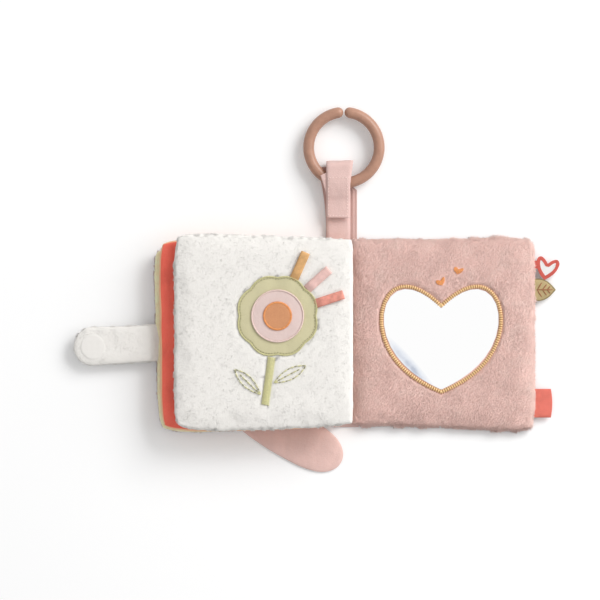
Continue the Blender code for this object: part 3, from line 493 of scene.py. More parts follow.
def add_object(name, points, faces, finishes, face_finish=None, smooth=True):
    """A mesh object from points and faces; face_finish gives each face's finish by number."""
    mesh = bpy.data.meshes.new(name)
    mesh.from_pydata([tuple(point) for point in points], [], faces)
    for finish in finishes:
        mesh.materials.append(finish.material)
    if face_finish is not None:
        mesh.polygons.foreach_set("material_index", face_finish)
    mesh.polygons.foreach_set("use_smooth", [smooth] * len(mesh.polygons))
    mesh.update()
    return put_in_scene(name, mesh)


def points_of(piece):
    """The places of a mesh's points, as rows of numbers."""
    mesh = piece.data
    points = np.empty(len(mesh.vertices) * 3)
    mesh.vertices.foreach_get("co", points)
    return points.reshape(-1, 3)


def set_points(piece, points):
    piece.data.vertices.foreach_set("co", np.ascontiguousarray(points, dtype=np.float32).ravel())
    piece.data.update()


def subdivide(piece):
    """Rounds a mesh by halving its faces once, and leaves the result in it."""
    modifier = piece.modifiers.new("round", "SUBSURF")
    modifier.levels = modifier.render_levels = 1
    bpy.context.view_layer.update()
    evaluated = piece.evaluated_get(bpy.context.evaluated_depsgraph_get())
    mesh = bpy.data.meshes.new_from_object(evaluated)
    piece.modifiers.clear()
    piece.data = mesh


WANDER_WAVES = 5
WANDER_SHARES = (0.4, 1.1)


def unit(vectors):
    """Vectors along the last axis, each made one long."""
    return vectors / np.maximum(np.linalg.norm(vectors, axis=-1, keepdims=True), TINY)


def wander(points, grain, seed):
    """A smooth field from -1 to 1 over points, with features of about this size."""
    random = np.random.default_rng(seed)
    total = np.zeros(len(points))
    for _ in range(WANDER_WAVES):
        way = random.normal(size=3)
        way *= 2 * math.pi / grain / np.linalg.norm(way) * random.uniform(*WANDER_SHARES)
        total += np.sin(points @ way + random.uniform(0, 2 * math.pi))
    return total / WANDER_WAVES


def inside(points, outline):
    """Which of the points lie inside a closed outline, seen from above."""
    x, y = points[:, 0], points[:, 1]
    found = np.zeros(len(points), bool)
    corners = np.asarray(outline)
    for (x1, y1), (x2, y2) in zip(corners, np.roll(corners, -1, axis=0)):
        if y1 == y2:
            continue
        crosses = (y1 > y) != (y2 > y)
        found ^= crosses & (x < (x2 - x1) * (y - y1) / (y2 - y1) + x1)
    return found


def outline_distance(points, outline):
    """How far the points are from an outline, seen from above; negative inside it."""
    flat = points[:, :2]
    corners = np.asarray(outline)
    nearest = np.full(len(points), np.inf)
    for start, end in zip(corners, np.roll(corners, -1, axis=0)):
        way = end - start
        share = np.clip((flat - start) @ way / max(way @ way, TINY), 0, 1)
        gap = np.linalg.norm(flat - start - share[:, None] * way, axis=1)
        nearest = np.minimum(nearest, gap)
    return np.where(inside(points, outline), -nearest, nearest)


def heart_outline(centre, width, height, notch_share, tilt=0.0, count=240):
    """A plump heart, centred on its box; the notch share says how far its lobes part."""
    turn = 2 * math.pi * (np.arange(count) + 0.5) / count
    third_share, fourth_share = HEART_WAVE_SHARES
    x = np.sin(turn) * np.abs(np.sin(turn))
    y = np.cos(turn) - notch_share * np.cos(2 * turn)
    y -= third_share * np.cos(3 * turn) + fourth_share * np.cos(4 * turn)
    across = ((x - x.min()) / (x.max() - x.min()) - 0.5) * width
    up = ((y - y.min()) / (y.max() - y.min()) - 0.5) * height
    return np.stack([
        centre[0] + across * math.cos(tilt) - up * math.sin(tilt),
        centre[1] + across * math.sin(tilt) + up * math.cos(tilt),
    ], axis=1)


def rounded(outline, turns):
    """An outline whose corners are softened this many times."""
    for _ in range(turns):
        outline = (np.roll(outline, 1, axis=0) + 2 * outline + np.roll(outline, -1, axis=0)) / 4
    return outline


def flower_outline(radius, lobes=0, scallop=0.0, count=240, centre=(FLOWER_X, FLOWER_Y)):
    """A circle, or a circle with round lobes that stand out by the scallop."""
    turn = 2 * math.pi * np.arange(count) / count
    reach = radius + scallop * np.abs(np.sin(lobes * turn / 2))
    return np.stack([centre[0] + reach * np.cos(turn), centre[1] + reach * np.sin(turn)], axis=1)


# A point moves inwards while the outline stays nearly as far away as it has moved.
INSET_PROBE_SHARE = 0.01
INSET_FREE_SHARE = 0.93
INSET_SLACK_SHARE = 1.5
INSET_STEPS = 12


def inset_outline(outline, depth):
    """An outline moved inwards by a depth, and less where its sides would meet."""
    outline = np.asarray(outline)
    ways = unit(np.roll(outline, -1, axis=0) - np.roll(outline, 1, axis=0))
    inwards = np.stack([-ways[:, 1], ways[:, 0]], axis=1)
    if inside(outline + inwards * depth * INSET_PROBE_SHARE, outline).mean() < 0.5:
        inwards = -inwards
    reach = np.zeros(len(outline))
    for step in range(1, INSET_STEPS + 1):
        trial = depth * step / INSET_STEPS
        free = -outline_distance(outline + inwards * trial, outline) > INSET_FREE_SHARE * trial
        reach = np.where(free & (reach > trial - INSET_SLACK_SHARE * depth / INSET_STEPS), trial, reach)
    return outline + inwards * reach[:, None]


def evenly(outline, partner, pitch, start=0.0):
    """Points a pitch apart along a closed outline, with their partners on another one.

    The start says how many pitches the first point lies from the outline's first point.
    """
    closed = np.vstack([outline, outline[:1]])
    other = np.vstack([partner, partner[:1]])
    reach = np.concatenate([[0], np.cumsum(np.linalg.norm(np.diff(closed, axis=0), axis=1))])
    count = round(reach[-1] / pitch)
    spots = (np.arange(count) + start) * reach[-1] / count
    first = np.stack([np.interp(spots, reach, closed[:, axis]) for axis in (0, 1)], axis=1)
    second = np.stack([np.interp(spots, reach, other[:, axis]) for axis in (0, 1)], axis=1)
    return first, second


# Boards

class Board:
    """The place of one board and the shape that all boards share."""

    def __init__(
        self, root_x, side, middle, shift_y=0.0, spread=0.0, root_shift_y=0.0,
        bulges=(-SIDE_DRAW_IN, -SIDE_DRAW_IN), reach=0.0, skew=0.0,
    ):
        self.side = side
        self.centre_x = root_x + side * BOARD_WIDTH / 2
        self.middle = middle
        self.shift_y = shift_y
        self.spread = spread
        self.root_shift_y = root_shift_y
        self.reach = reach
        self.skew = skew
        self.low_bulge, self.high_bulge = bulges

    def plan(self, u, v):
        """The place on the outline's plan of a point from -1 to 1 across and up the board."""
        fore_share = (1 + u * self.side) / 2
        middle = self.shift_y * fore_share + self.root_shift_y * (1 - fore_share)
        half = BOARD_DEPTH / 2 + self.spread * fore_share - SPINE_GATHER * (1 - fore_share)
        pull = CORNER_RADIUS * (1 - math.sqrt(0.5)) * abs(u * v) ** CORNER_POWER
        if u * self.side < 0:
            pull *= SPINE_CORNER_SHARE
        draw = SIDE_DRAW_IN if u * self.side > 0 else 0
        x = u * (BOARD_WIDTH / 2 - pull - draw * u * u * (1 - v * v))
        x += self.side * (self.reach + self.skew * v) * fore_share ** 2
        bulge = self.low_bulge if v < 0 else self.high_bulge
        y = v * (half - pull + bulge * v * v * (1 - u * u))
        return self.centre_x + x, middle + y


BACK = Board(BACK_ROOT_X, 1, BACK_MIDDLE, BACK_SHIFT_Y, BACK_SPREAD, BACK_ROOT_SHIFT_Y)
WHITE = Board(WHITE_ROOT_X, -1, WHITE_MIDDLE, WHITE_SHIFT_Y, WHITE_SPREAD, WHITE_ROOT_SHIFT_Y, WHITE_BULGES)
RED = Board(RED_ROOT_X, -1, RED_MIDDLE, RED_SHIFT_Y, bulges=RED_BULGES, reach=RED_REACH, skew=RED_SKEW)
COVER = Board(
    COVER_ROOT_X, -1, COVER_MIDDLE, COVER_SHIFT_Y, COVER_SPREAD, bulges=COVER_BULGES, skew=COVER_SKEW,
)


def pillow_height(u, v, side):
    """Half the thickness of a stuffed board at a point from -1 to 1 across and up it."""
    across = max(0, 1 - abs(u) ** (CROWN_POWER if u * side > 0 else SPINE_CROWN_POWER))
    up = max(0, 1 - abs(v) ** CROWN_POWER)
    rise = BOARD_HALF_THICKNESS - PILLOW_RIM_HALF
    return PILLOW_RIM_HALF + rise * math.sqrt(across * up)


def grid_shares(count):
    """Grid lines from -1 to 1 that draw together near the edges."""
    lines = []
    for step in range(count + 1):
        even = 2 * step / count - 1
        drawn = math.sin(even * math.pi / 2)
        lines.append(even * (1 - EDGE_SPACING_SHARE) + drawn * EDGE_SPACING_SHARE)
    return lines


def pillow(name, board, finishes, turned):
    """Two sewn panels as one closed mesh; returns it and the numbers of its seam's points.

    A turned pillow's lower panel comes up over the edge and shows as a line round the upper one.
    """
    columns, rows = grid_shares(PILLOW_COLUMNS), grid_shares(PILLOW_ROWS)
    numbers, points, rim = {}, [], []
    for level in (1, -1):
        for column, u in enumerate(columns):
            for row, v in enumerate(rows):
                on_rim = max(abs(u), abs(v)) > 1 - TINY
                if on_rim and level == -1:
                    numbers[level, column, row] = numbers[1, column, row]
                    continue
                x, y = board.plan(u, v)
                height = 0 if on_rim else level * PILLOW_START_SHARE * pillow_height(u, v, board.side)
                numbers[level, column, row] = len(points)
                if on_rim:
                    rim.append(len(points))
                points.append((x, y, board.middle + height))
    faces, face_finish = [], []
    for level in (1, -1):
        for column in range(PILLOW_COLUMNS):
            for row in range(PILLOW_ROWS):
                corners = [(column, row), (column + 1, row), (column + 1, row + 1), (column, row + 1)]
                face = [numbers[level, *corner] for corner in corners]
                faces.append(face if level == 1 else face[::-1])
                outer = column in (0, PILLOW_COLUMNS - 1) or row in (0, PILLOW_ROWS - 1)
                face_finish.append(1 if level == -1 or (turned and outer) else 0)
    return add_object(name, points, faces, finishes, face_finish), rim


def inflate(piece, rim):
    """Blows the pillow up a little with cloth, its seam held, and leaves the result in its mesh."""
    start = points_of(piece)
    held = piece.vertex_groups.new(name="seam")
    held.add(rim, 1.0, "REPLACE")
    modifier = piece.modifiers.new("inflate", "CLOTH")
    settings = modifier.settings
    settings.use_pressure = True
    settings.uniform_pressure_force = PILLOW_PRESSURE
    settings.effector_weights.gravity = 0
    settings.vertex_group_mass = held.name
    settings.shrink_min = PILLOW_CLOTH_EXCESS
    modifier.point_cache.frame_end = PILLOW_LAST_FRAME
    for step in range(1, PILLOW_LAST_FRAME + 1):
        bpy.context.scene.frame_set(step)
    evaluated = piece.evaluated_get(bpy.context.evaluated_depsgraph_get())
    moved = np.empty(len(start) * 3)
    evaluated.data.vertices.foreach_get("co", moved)
    step = moved.reshape(-1, 3) - start
    reach = np.linalg.norm(step, axis=1, keepdims=True)
    capped = step * np.minimum(1, PILLOW_MOVE_CAP / np.maximum(reach, TINY))
    piece.modifiers.clear()
    piece.vertex_groups.clear()
    set_points(piece, start + capped)
    bpy.context.scene.frame_set(1)


def make_pillow(name, board, finishes, replaced, seed, turned=False):
    """A board's padded form, which takes its wrinkles from the blown-up cloth."""
    piece, rim = pillow(name, board, finishes, turned)
    points = points_of(piece)
    points[:, 2] = board.middle + (points[:, 2] - board.middle) / PILLOW_START_SHARE
    inflate(piece, rim)
    points += PILLOW_CLOTH_SHARE * (points_of(piece) - points)
    height = points[:, 2] - board.middle
    height += PILLOW_RUFFLE * wander(points, RUFFLE_SIZE, seed) * np.sign(height)
    limit = BOARD_HALF_THICKNESS + PILLOW_SPARE
    points[:, 2] = board.middle + np.clip(height, -limit, limit)
    ruffle = np.stack([wander(points, RUFFLE_SIZE, seed + turn) for turn in (1, 2)], axis=1)
    points[:, :2] += PILLOW_EDGE_RUFFLE * ruffle
    set_points(piece, points)
    subdivide(piece)
    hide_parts(*replaced)
    return piece


def press(piece, outline, height, upper=True):
    """Presses one face of a pillow to a height inside an outline, so that a patch lies on it."""
    points = points_of(piece)
    beyond = points[:, 2] > height if upper else points[:, 2] < height
    points[beyond & (outline_distance(points, outline) < PRESS_MARGIN), 2] = height
    set_points(piece, points)


def keep_above_floor(piece):
    points = points_of(piece)
    points[:, 2] = np.maximum(points[:, 2], 0)
    set_points(piece, points)


# Pile

# Strands are shaded mostly like the cloth that they stand on, which gives the pile its softness.
# The glow turns that shading upright, as light goes through the pile's thin edges.
STRAND_ROUND_SHARE = 1.3
PINK_STRANDS = dict(
    length=0.0036, width=0.00038, lean=(1.30, 1.53), swirl=0.7, grain=0.018,
    heading=1.4, stray=0.35, glow=0.5,
)
PINK_HIDDEN = dict(PINK_STRANDS, length=0.0030, lean=(1.1, 1.45), heading=1.5)
WHITE_STRANDS = dict(
    length=0.0014, width=0.00040, lean=(1.25, 1.52), swirl=3.0, grain=0.006, heading=0.0, stray=0.8, glow=1.0,
)
# The strands of a fringe have no heading: they point outwards, round the edge of a page.
PINK_FRINGE = dict(
    length=0.0042, width=0.00036, lean=(0.3, 0.9), swirl=0.6, grain=0.005, heading=None, stray=0.35, glow=1.5,
)
WHITE_FRINGE = dict(
    length=0.0020, width=0.00046, lean=(0.5, 1.1), swirl=0.8, grain=0.004, heading=None, stray=0.5, glow=2.5,
)
STRAP_FRINGE = dict(WHITE_FRINGE, length=0.0017, width=0.00042, lean=(0.0, 0.8))
# How the strands of one pile differ, and how each bends and narrows on its way up.
LENGTH_SHARES = (0.7, 1.15)
WIDTH_SHARES = (0.7, 1.2)
ROOT_LEAN_SHARE = 0.6
TIP_LEAN_SHARE = 1.25
BEND_WIDTH_SHARE = 0.8
# Three corners at the root, three at the bend and the tip, and the faces between them.
STRAND_POINTS = 7
STRAND_FACES = ((0, 2, 1), (0, 1, 4, 3), (1, 2, 5, 4), (2, 0, 3, 5), (3, 4, 6), (4, 5, 6), (5, 3, 6))
# Faces that look down more steeply than this belong to the lower side.
UNDERSIDE_TILT = -0.3


def surface_samples(piece, count, keep, random):
    """Random places on a piece with their normals, by area, where keep allows them."""
    mesh = piece.data
    mesh.calc_loop_triangles()
    corners = np.empty(len(mesh.loop_triangles) * 3, np.int32)
    mesh.loop_triangles.foreach_get("vertices", corners)
    triangles = points_of(piece)[corners.reshape(-1, 3)]
    first, second, third = triangles[:, 0], triangles[:, 1], triangles[:, 2]
    normals = np.cross(second - first, third - first)
    areas = np.linalg.norm(normals, axis=1, keepdims=True)
    normals = normals / np.maximum(areas, TINY_AREA)
    weights = areas[:, 0] * keep(triangles.mean(axis=1), normals)
    picks = random.choice(len(weights), size=count, p=weights / weights.sum())
    one, two = random.random(count), random.random(count)
    flip = one + two > 1
    one[flip], two[flip] = 1 - one[flip], 1 - two[flip]
    along = (second - first)[picks] * one[:, None]
    across = (third - first)[picks] * two[:, None]
    return first[picks] + along + across, normals[picks]


def strand_faces(count):
    """The faces of closed three-sided strands with one bend, as corner numbers and starts."""
    shape = np.concatenate(STRAND_FACES)
    starts = np.cumsum([0] + [len(face) for face in STRAND_FACES[:-1]])
    corners = (np.arange(count)[:, None] * STRAND_POINTS + shape).ravel()
    begin = (np.arange(count)[:, None] * len(shape) + starts).ravel()
    return corners.astype(np.int32), begin.astype(np.int32)


def grow_pile(name, base, count, strands, keep, finish, seed, thin=None, floor=None):
    """Short bent strands that stand on a surface and lean over in drifting directions."""
    random = np.random.default_rng(seed)
    roots, normals = surface_samples(base, count, keep, random)
    outwards = np.arctan2(normals[:, 1], normals[:, 0])
    angle = outwards if strands["heading"] is None else strands["heading"]
    angle = angle + strands["swirl"] * wander(roots, strands["grain"], seed + 1)
    angle += random.normal(0, strands["stray"], count)
    way = np.stack([np.cos(angle), np.sin(angle), np.zeros(count)], axis=1)
    way = unit(way - normals * np.sum(way * normals, axis=1, keepdims=True))
    side = unit(np.cross(normals, way))
    low, high = strands["lean"]
    lean = random.uniform(low, high, count)[:, None]
    length = strands["length"] * random.uniform(*LENGTH_SHARES, count)[:, None]
    if thin is not None:
        length *= thin(roots)[:, None]
    half = strands["width"] / 2 * random.uniform(*WIDTH_SHARES, count)[:, None]
    start = roots - normals * strands["width"]
    root_lean, tip_lean = lean * ROOT_LEAN_SHARE, lean * TIP_LEAN_SHARE
    bend = start + (normals * np.cos(root_lean) + way * np.sin(root_lean)) * length / 2
    tip = bend + (normals * np.cos(tip_lean) + way * np.sin(tip_lean)) * length / 2
    points = np.empty((count, STRAND_POINTS, 3))
    for corner in range(3):
        turn = 2 * math.pi * corner / 3
        offset = side * math.cos(turn) + normals * math.sin(turn)
        points[:, corner] = start + offset * half
        points[:, corner + 3] = bend + offset * half * BEND_WIDTH_SHARE
    points[:, -1] = tip
    if floor is not None:
        points[:, :, 2] = np.maximum(points[:, :, 2], floor)
    round_way = points - points[:, :3].mean(axis=1, keepdims=True)
    upright = np.where(normals[:, 2:] > UNDERSIDE_TILT, 1, -1) * np.array([[0, 0, 1]])
    shading = unit(normals + strands["glow"] * upright)[:, None] + STRAND_ROUND_SHARE * unit(round_way)
    return strand_object(name, points, unit(shading), finish)


def strand_object(name, points, shading, finish):
    """One mesh of many strands, shaded by a direction at each of their points."""
    count = len(points)
    corners, begin = strand_faces(count)
    mesh = bpy.data.meshes.new(name)
    mesh.vertices.add(count * STRAND_POINTS)
    mesh.loops.add(len(corners))
    mesh.polygons.add(len(begin))
    mesh.vertices.foreach_set("co", points.astype(np.float32).ravel())
    mesh.loops.foreach_set("vertex_index", corners)
    mesh.polygons.foreach_set("loop_start", begin)
    mesh.polygons.foreach_set("use_smooth", np.ones(len(begin), bool))
    mesh.materials.append(finish.material)
    mesh.update(calc_edges=True)
    mesh.validate()
    mesh.normals_split_custom_set_from_vertices(shading.reshape(-1, 3))
    return put_in_scene(name, mesh)


TUFT_MIDDLE_SHARE = 0.55
TUFT_SPREAD_SHARE = 1.1
BARE_MARGIN = 0.0004


def upper_side(places, normals):
    return (normals[:, 2] > UNDERSIDE_TILT).astype(float)


def lower_side(places, normals):
    return (normals[:, 2] <= UNDERSIDE_TILT).astype(float)


def rim_of(board, reach, least_tilt, most_tilt):
    """The side faces of a board, within a reach of its middle, whose tilt is between two limits."""
    def share(places, normals):
        near = np.abs(places[:, 2] - board.middle) < reach
        away = (places[:, 0] - board.centre_x) * board.side > -BOARD_WIDTH / 2 + reach
        tilted = (normals[:, 2] > least_tilt) & (normals[:, 2] < most_tilt)
        return (near & away & tilted).astype(float)
    return share


def tufted(grain, seed, least):
    """Strands gather in longer and shorter tufts of about this size."""
    def share(places):
        return np.clip(TUFT_MIDDLE_SHARE + TUFT_SPREAD_SHARE * wander(places, grain, seed), least, 1)
    return share


def clear_of(outlines, keep, margin=BARE_MARGIN):
    """Leaves the inside of some outlines bare."""
    def allowed(places, normals):
        share = keep(places, normals)
        for outline in outlines:
            share = share * (outline_distance(places, outline) > margin)
        return share
    return allowed


def shorter_near(outlines, reach, least):
    """Strands grow shorter towards some outlines."""
    def share(places):
        scale = np.ones(len(places))
        for outline in outlines:
            gap = outline_distance(places, outline)
            scale = np.minimum(scale, np.clip(gap / reach, least, 1))
        return scale
    return share


# Stitches

STITCH_SIDES = 6
STITCH_STATIONS = ((0.12, 0.75), (0.5, 1.0), (0.88, 0.75))


def stitches(name, pairs, radius, lift, finish):
    """Rounded stitches, each a closed spindle from one point to another that arches by lift."""
    points, faces = [], []
    for first, second in pairs:
        first, second = Vector(first), Vector(second)
        way = (second - first).normalized()
        side = way.cross(Vector((0, 0, 1))).normalized()
        up = side.cross(way)
        base = len(points)
        points.append(first)
        for share, width in STITCH_STATIONS:
            middle = first.lerp(second, share) + up * lift * (1 - (2 * share - 1) ** 2)
            for corner in range(STITCH_SIDES):
                turn = 2 * math.pi * corner / STITCH_SIDES
                points.append(middle + (side * math.cos(turn) + up * math.sin(turn)) * radius * width)
        points.append(second)
        faces += spindle_faces(base)
    return add_object(name, points, faces, [finish])


def spindle_faces(base):
    rings = len(STITCH_STATIONS)
    last = base + 1 + rings * STITCH_SIDES
    faces = []
    for corner in range(STITCH_SIDES):
        after = (corner + 1) % STITCH_SIDES
        faces.append((base, base + 1 + after, base + 1 + corner))
        for ring in range(rings - 1):
            here = base + 1 + ring * STITCH_SIDES
            there = here + STITCH_SIDES
            faces.append((here + corner, here + after, there + after, there + corner))
        end = last - STITCH_SIDES
        faces.append((end + corner, end + after, last))
    return faces


def satin_edge(name, outer, inner, pitch, low, radius, lift, finish):
    """Stitches side by side across the band between two outlines."""
    pairs = [((*start, low), (*end, low)) for start, end in zip(*evenly(outer, inner, pitch))]
    return stitches(name, pairs, radius, lift, finish)


def fill_pairs(outline, angle, pitch, low):
    """Straight stitches across an outline, one pitch apart, at an angle."""
    turn = np.array([[math.cos(angle), math.sin(angle)], [-math.sin(angle), math.cos(angle)]])
    local = np.asarray(outline) @ turn.T
    pairs = []
    for x in np.arange(local[:, 0].min() + pitch / 2, local[:, 0].max(), pitch):
        cuts = []
        for (x1, y1), (x2, y2) in zip(local, np.roll(local, -1, axis=0)):
            if (x1 > x) != (x2 > x):
                cuts.append(y1 + (y2 - y1) * (x - x1) / (x2 - x1))
        cuts.sort()
        for start, end in zip(cuts[::2], cuts[1::2]):
            one = np.array([x, start]) @ turn
            two = np.array([x, end]) @ turn
            pairs.append(((*one, low), (*two, low)))
    return pairs


def tube_faces(rings, sides):
    """The faces of a round tube along its rings of points, with its two ends closed."""
    faces = []
    for ring in range(rings - 1):
        here, there = ring * sides, (ring + 1) * sides
        for corner in range(sides):
            after = (corner + 1) % sides
            faces.append((here + corner, here + after, there + after, there + corner))
    faces.append(tuple(range(sides))[::-1])
    faces.append(tuple(range((rings - 1) * sides, rings * sides)))
    return faces


TUBE_SIDES = 8


def tube(name, path, radius, finish):
    """A round line of thread along points."""
    path = [Vector(point) for point in path]
    last = len(path) - 1
    points = []
    for number, place in enumerate(path):
        way = (path[min(number + 1, last)] - path[max(number - 1, 0)]).normalized()
        side = way.cross(Vector((0, 0, 1))).normalized()
        up = side.cross(way)
        for corner in range(TUBE_SIDES):
            turn = 2 * math.pi * corner / TUBE_SIDES
            points.append(place + (side * math.cos(turn) + up * math.sin(turn)) * radius)
    return add_object(name, points, tube_faces(len(path), TUBE_SIDES), [finish])


def band_between(name, outer, inner, low, high, finish):
    """A flat closed band between two outlines of as many points."""
    count = len(outer)
    points, faces = [], []
    for outline, height in ((outer, low), (inner, low), (inner, high), (outer, high)):
        points += [(x, y, height) for x, y in outline]
    for number in range(count):
        after = (number + 1) % count
        for ring in range(4):
            here, there = ring * count, (ring + 1) % 4 * count
            faces.append((here + number, there + number, there + after, here + after))
    return add_object(name, points, faces, [finish], smooth=False)


# Powers that draw a plate's rings towards its edge, round that edge and shape its crown.
PLATE_RING_POWER = 1.7
PLATE_EDGE_POWER = 10
PLATE_CROWN_POWER = 2.5


def soft_plate(name, outline, low, thickness, finish, rings=8, crown=0.0):
    """A plate of cloth inside an outline, with a rounded edge and a soft crown."""
    outline = np.asarray(outline)
    count = len(outline)
    centre = outline.mean(axis=0)
    shares = [1 - (1 - ring / rings) ** PLATE_RING_POWER for ring in range(1, rings + 1)]
    points, faces = [], []
    for side, rise in ((1, crown), (-1, 0)):
        points.append((*centre, low + (thickness if side > 0 else 0) + rise))
        for share in shares:
            edge = math.sqrt(max(0, 1 - share ** PLATE_EDGE_POWER))
            height = low + thickness * (1 + side * edge) / 2 + rise * (1 - share ** PLATE_CROWN_POWER)
            points += [(x, y, height) for x, y in centre + (outline - centre) * share]
    top, bottom = 0, 1 + rings * count
    for number in range(count):
        after = (number + 1) % count
        faces.append((top, top + 1 + number, top + 1 + after))
        faces.append((bottom, bottom + 1 + after, bottom + 1 + number))
        for ring in range(rings - 1):
            for start, flip in ((top, False), (bottom, True)):
                here, there = start + 1 + ring * count, start + 1 + (ring + 1) * count
                face = (here + number, there + number, there + after, here + after)
                faces.append(face[::-1] if flip else face)
        upper_edge, lower_edge = top + 1 + (rings - 1) * count, bottom + 1 + (rings - 1) * count
        faces.append((upper_edge + number, lower_edge + number, lower_edge + after, upper_edge + after))
    return add_object(name, points, faces, [finish])


def smooth_path(points, count):
    """Points spread along a smooth curve through some points."""
    given = np.asarray(points, float)
    reach = np.concatenate([[0], np.cumsum(np.linalg.norm(np.diff(given, axis=0), axis=1))])
    padded = np.vstack([2 * given[0] - given[1], given, 2 * given[-1] - given[-2]])
    path = []
    for place in np.linspace(0, reach[-1], count):
        span = min(int(np.searchsorted(reach, place, side="right")) - 1, len(given) - 2)
        t = (place - reach[span]) / (reach[span + 1] - reach[span])
        a, b, c, d = padded[span:span + 4]
        path.append((2 * b + (c - a) * t + (2 * a - 5 * b + 4 * c - d) * t ** 2
                     + (3 * b - a - 3 * c + d) * t ** 3) / 2)
    return np.array(path)


STRIP_EDGE_THINNING_SHARE = 0.55
STRIP_EDGE_POWER = 8


def cloth_strip(name, path, half_width, thickness, finish, across_axis, centre=0.0, columns=8):
    """A flat strip whose side view follows a path; across_axis is the axis that it is wide along."""
    count = len(path)
    ways = unit(np.gradient(path, axis=0))
    normals = np.stack([-ways[:, 1], ways[:, 0]], axis=1)
    points, faces = [], []
    for level in (0.5, -0.5):
        for number in range(count):
            for column in range(columns + 1):
                v = 2 * column / columns - 1
                edge = 1 - STRIP_EDGE_THINNING_SHARE * abs(v) ** STRIP_EDGE_POWER
                run, rise = path[number] + normals[number] * thickness * level * edge
                across = centre + v * half_width
                points.append((across, run, rise) if across_axis == "X" else (run, across, rise))
    size = count * (columns + 1)
    for number in range(count - 1):
        for column in range(columns):
            here = number * (columns + 1) + column
            face = (here, here + 1, here + columns + 2, here + columns + 1)
            faces.append(face)
            faces.append(tuple(size + corner for corner in face)[::-1])
    rim = strip_rim(count, columns)
    for here, there in zip(rim, rim[1:] + rim[:1]):
        faces.append((there, here, size + here, size + there))
    return outward(add_object(name, points, faces, [finish]))


def strip_rim(count, columns):
    """The numbers of a strip's rim points, in order round it."""
    wide = columns + 1
    first = list(range(wide))
    right = [number * wide + columns for number in range(1, count)]
    last = [(count - 1) * wide + column for column in range(columns - 1, -1, -1)]
    left = [number * wide for number in range(count - 2, 0, -1)]
    return first + right + last + left


def outward(piece):
    """Makes every face look outwards."""
    builder = bmesh.new()
    builder.from_mesh(piece.data)
    bmesh.ops.recalc_face_normals(builder, faces=builder.faces[:])
    builder.to_mesh(piece.data)
    builder.free()
    return piece


def dress(piece, body, replaced=()):
    """Puts a piece on its body and the solids that it stands for."""
    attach(piece, body)
    if replaced:
        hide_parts(*replaced)


# The boards

FLOWER_MIDDLE = np.array([FLOWER_X, FLOWER_Y])
STEM_ACROSS = np.array([math.cos(STEM_LEAN), math.sin(STEM_LEAN)])
STEM_DOWN = np.array([math.sin(STEM_LEAN), -math.cos(STEM_LEAN)])
STEM_START = FLOWER_MIDDLE + STEM_DOWN * (FLOWER_RADIUS + FLOWER_SCALLOP)
HEART = rounded(
    heart_outline((MIRROR_X, MIRROR_Y), MIRROR_WIDTH, MIRROR_HEIGHT, MIRROR_NOTCH_SHARE, count=480), turns=8,
)
SMALL_HEART_OUTLINES = [
    heart_outline((x, y), SMALL_HEART_WIDTH, SMALL_HEART_HEIGHT, SMALL_HEART_NOTCH_SHARE, tilt, 80)
    for _, x, y, tilt in SMALL_HEARTS
]
SCALLOPS = flower_outline(FLOWER_RADIUS, FLOWER_LOBES, FLOWER_SCALLOP)
LOOP_CIRCLE = flower_outline(LOOP_RADIUS, count=64, centre=(LOOP_X, STRAP_TIP_Y))
STEM_END = STEM_START + STEM_DOWN * STEM_LENGTH
STEM_HALF = STEM_ACROSS * STEM_WIDTH / 2
STEM = np.array([STEM_START - STEM_HALF, STEM_END - STEM_HALF, STEM_END + STEM_HALF, STEM_START + STEM_HALF])

# How many strands each side of a board carries, at most this many of them in one mesh.
MOST_STRANDS = 18500
BACK_PILE_COUNTS = (48000, 18000)
WHITE_PILE_COUNTS = (34000, 9000)
COVER_PILE_COUNTS = (0, 32000)
BACK_FRINGE_COUNT = 9500
WHITE_FRINGE_COUNT = 6500
# The pile leans over the far side of each patch, so its bare ground lies this much nearer.
BARE_LAG = 0.0012
PATCH_MARGIN = 0.0016
SHORT_REACH = 0.002
# No strand of the lowest pages goes below this height.
PILE_FLOOR = 0.0001
# How near a board's middle its fringe grows, the tilts that it grows between, and the size of its tufts.
BACK_RIM = (0.0036, -0.8, 0.8)
BACK_TUFT = 0.009
WHITE_RIM = (0.0060, 0.15, 0.93)
WHITE_TUFT = 0.005


def pile_pair(name, piece, body, finish, counts, strands, keeps, seed, thin=None, floor=None):
    """The pile on a board's two sides, in parts that stay small."""
    for side, count, kind, keep in zip(("upper", "lower"), counts, strands, keeps):
        for part in range(math.ceil(count / MOST_STRANDS)):
            seed += 10
            grown = min(count - part * MOST_STRANDS, MOST_STRANDS)
            pile = grow_pile(
                f"{name}_{side}_pile_{part + 1}", piece, grown, kind, keep, finish, seed, thin, floor,
            )
            dress(pile, body)


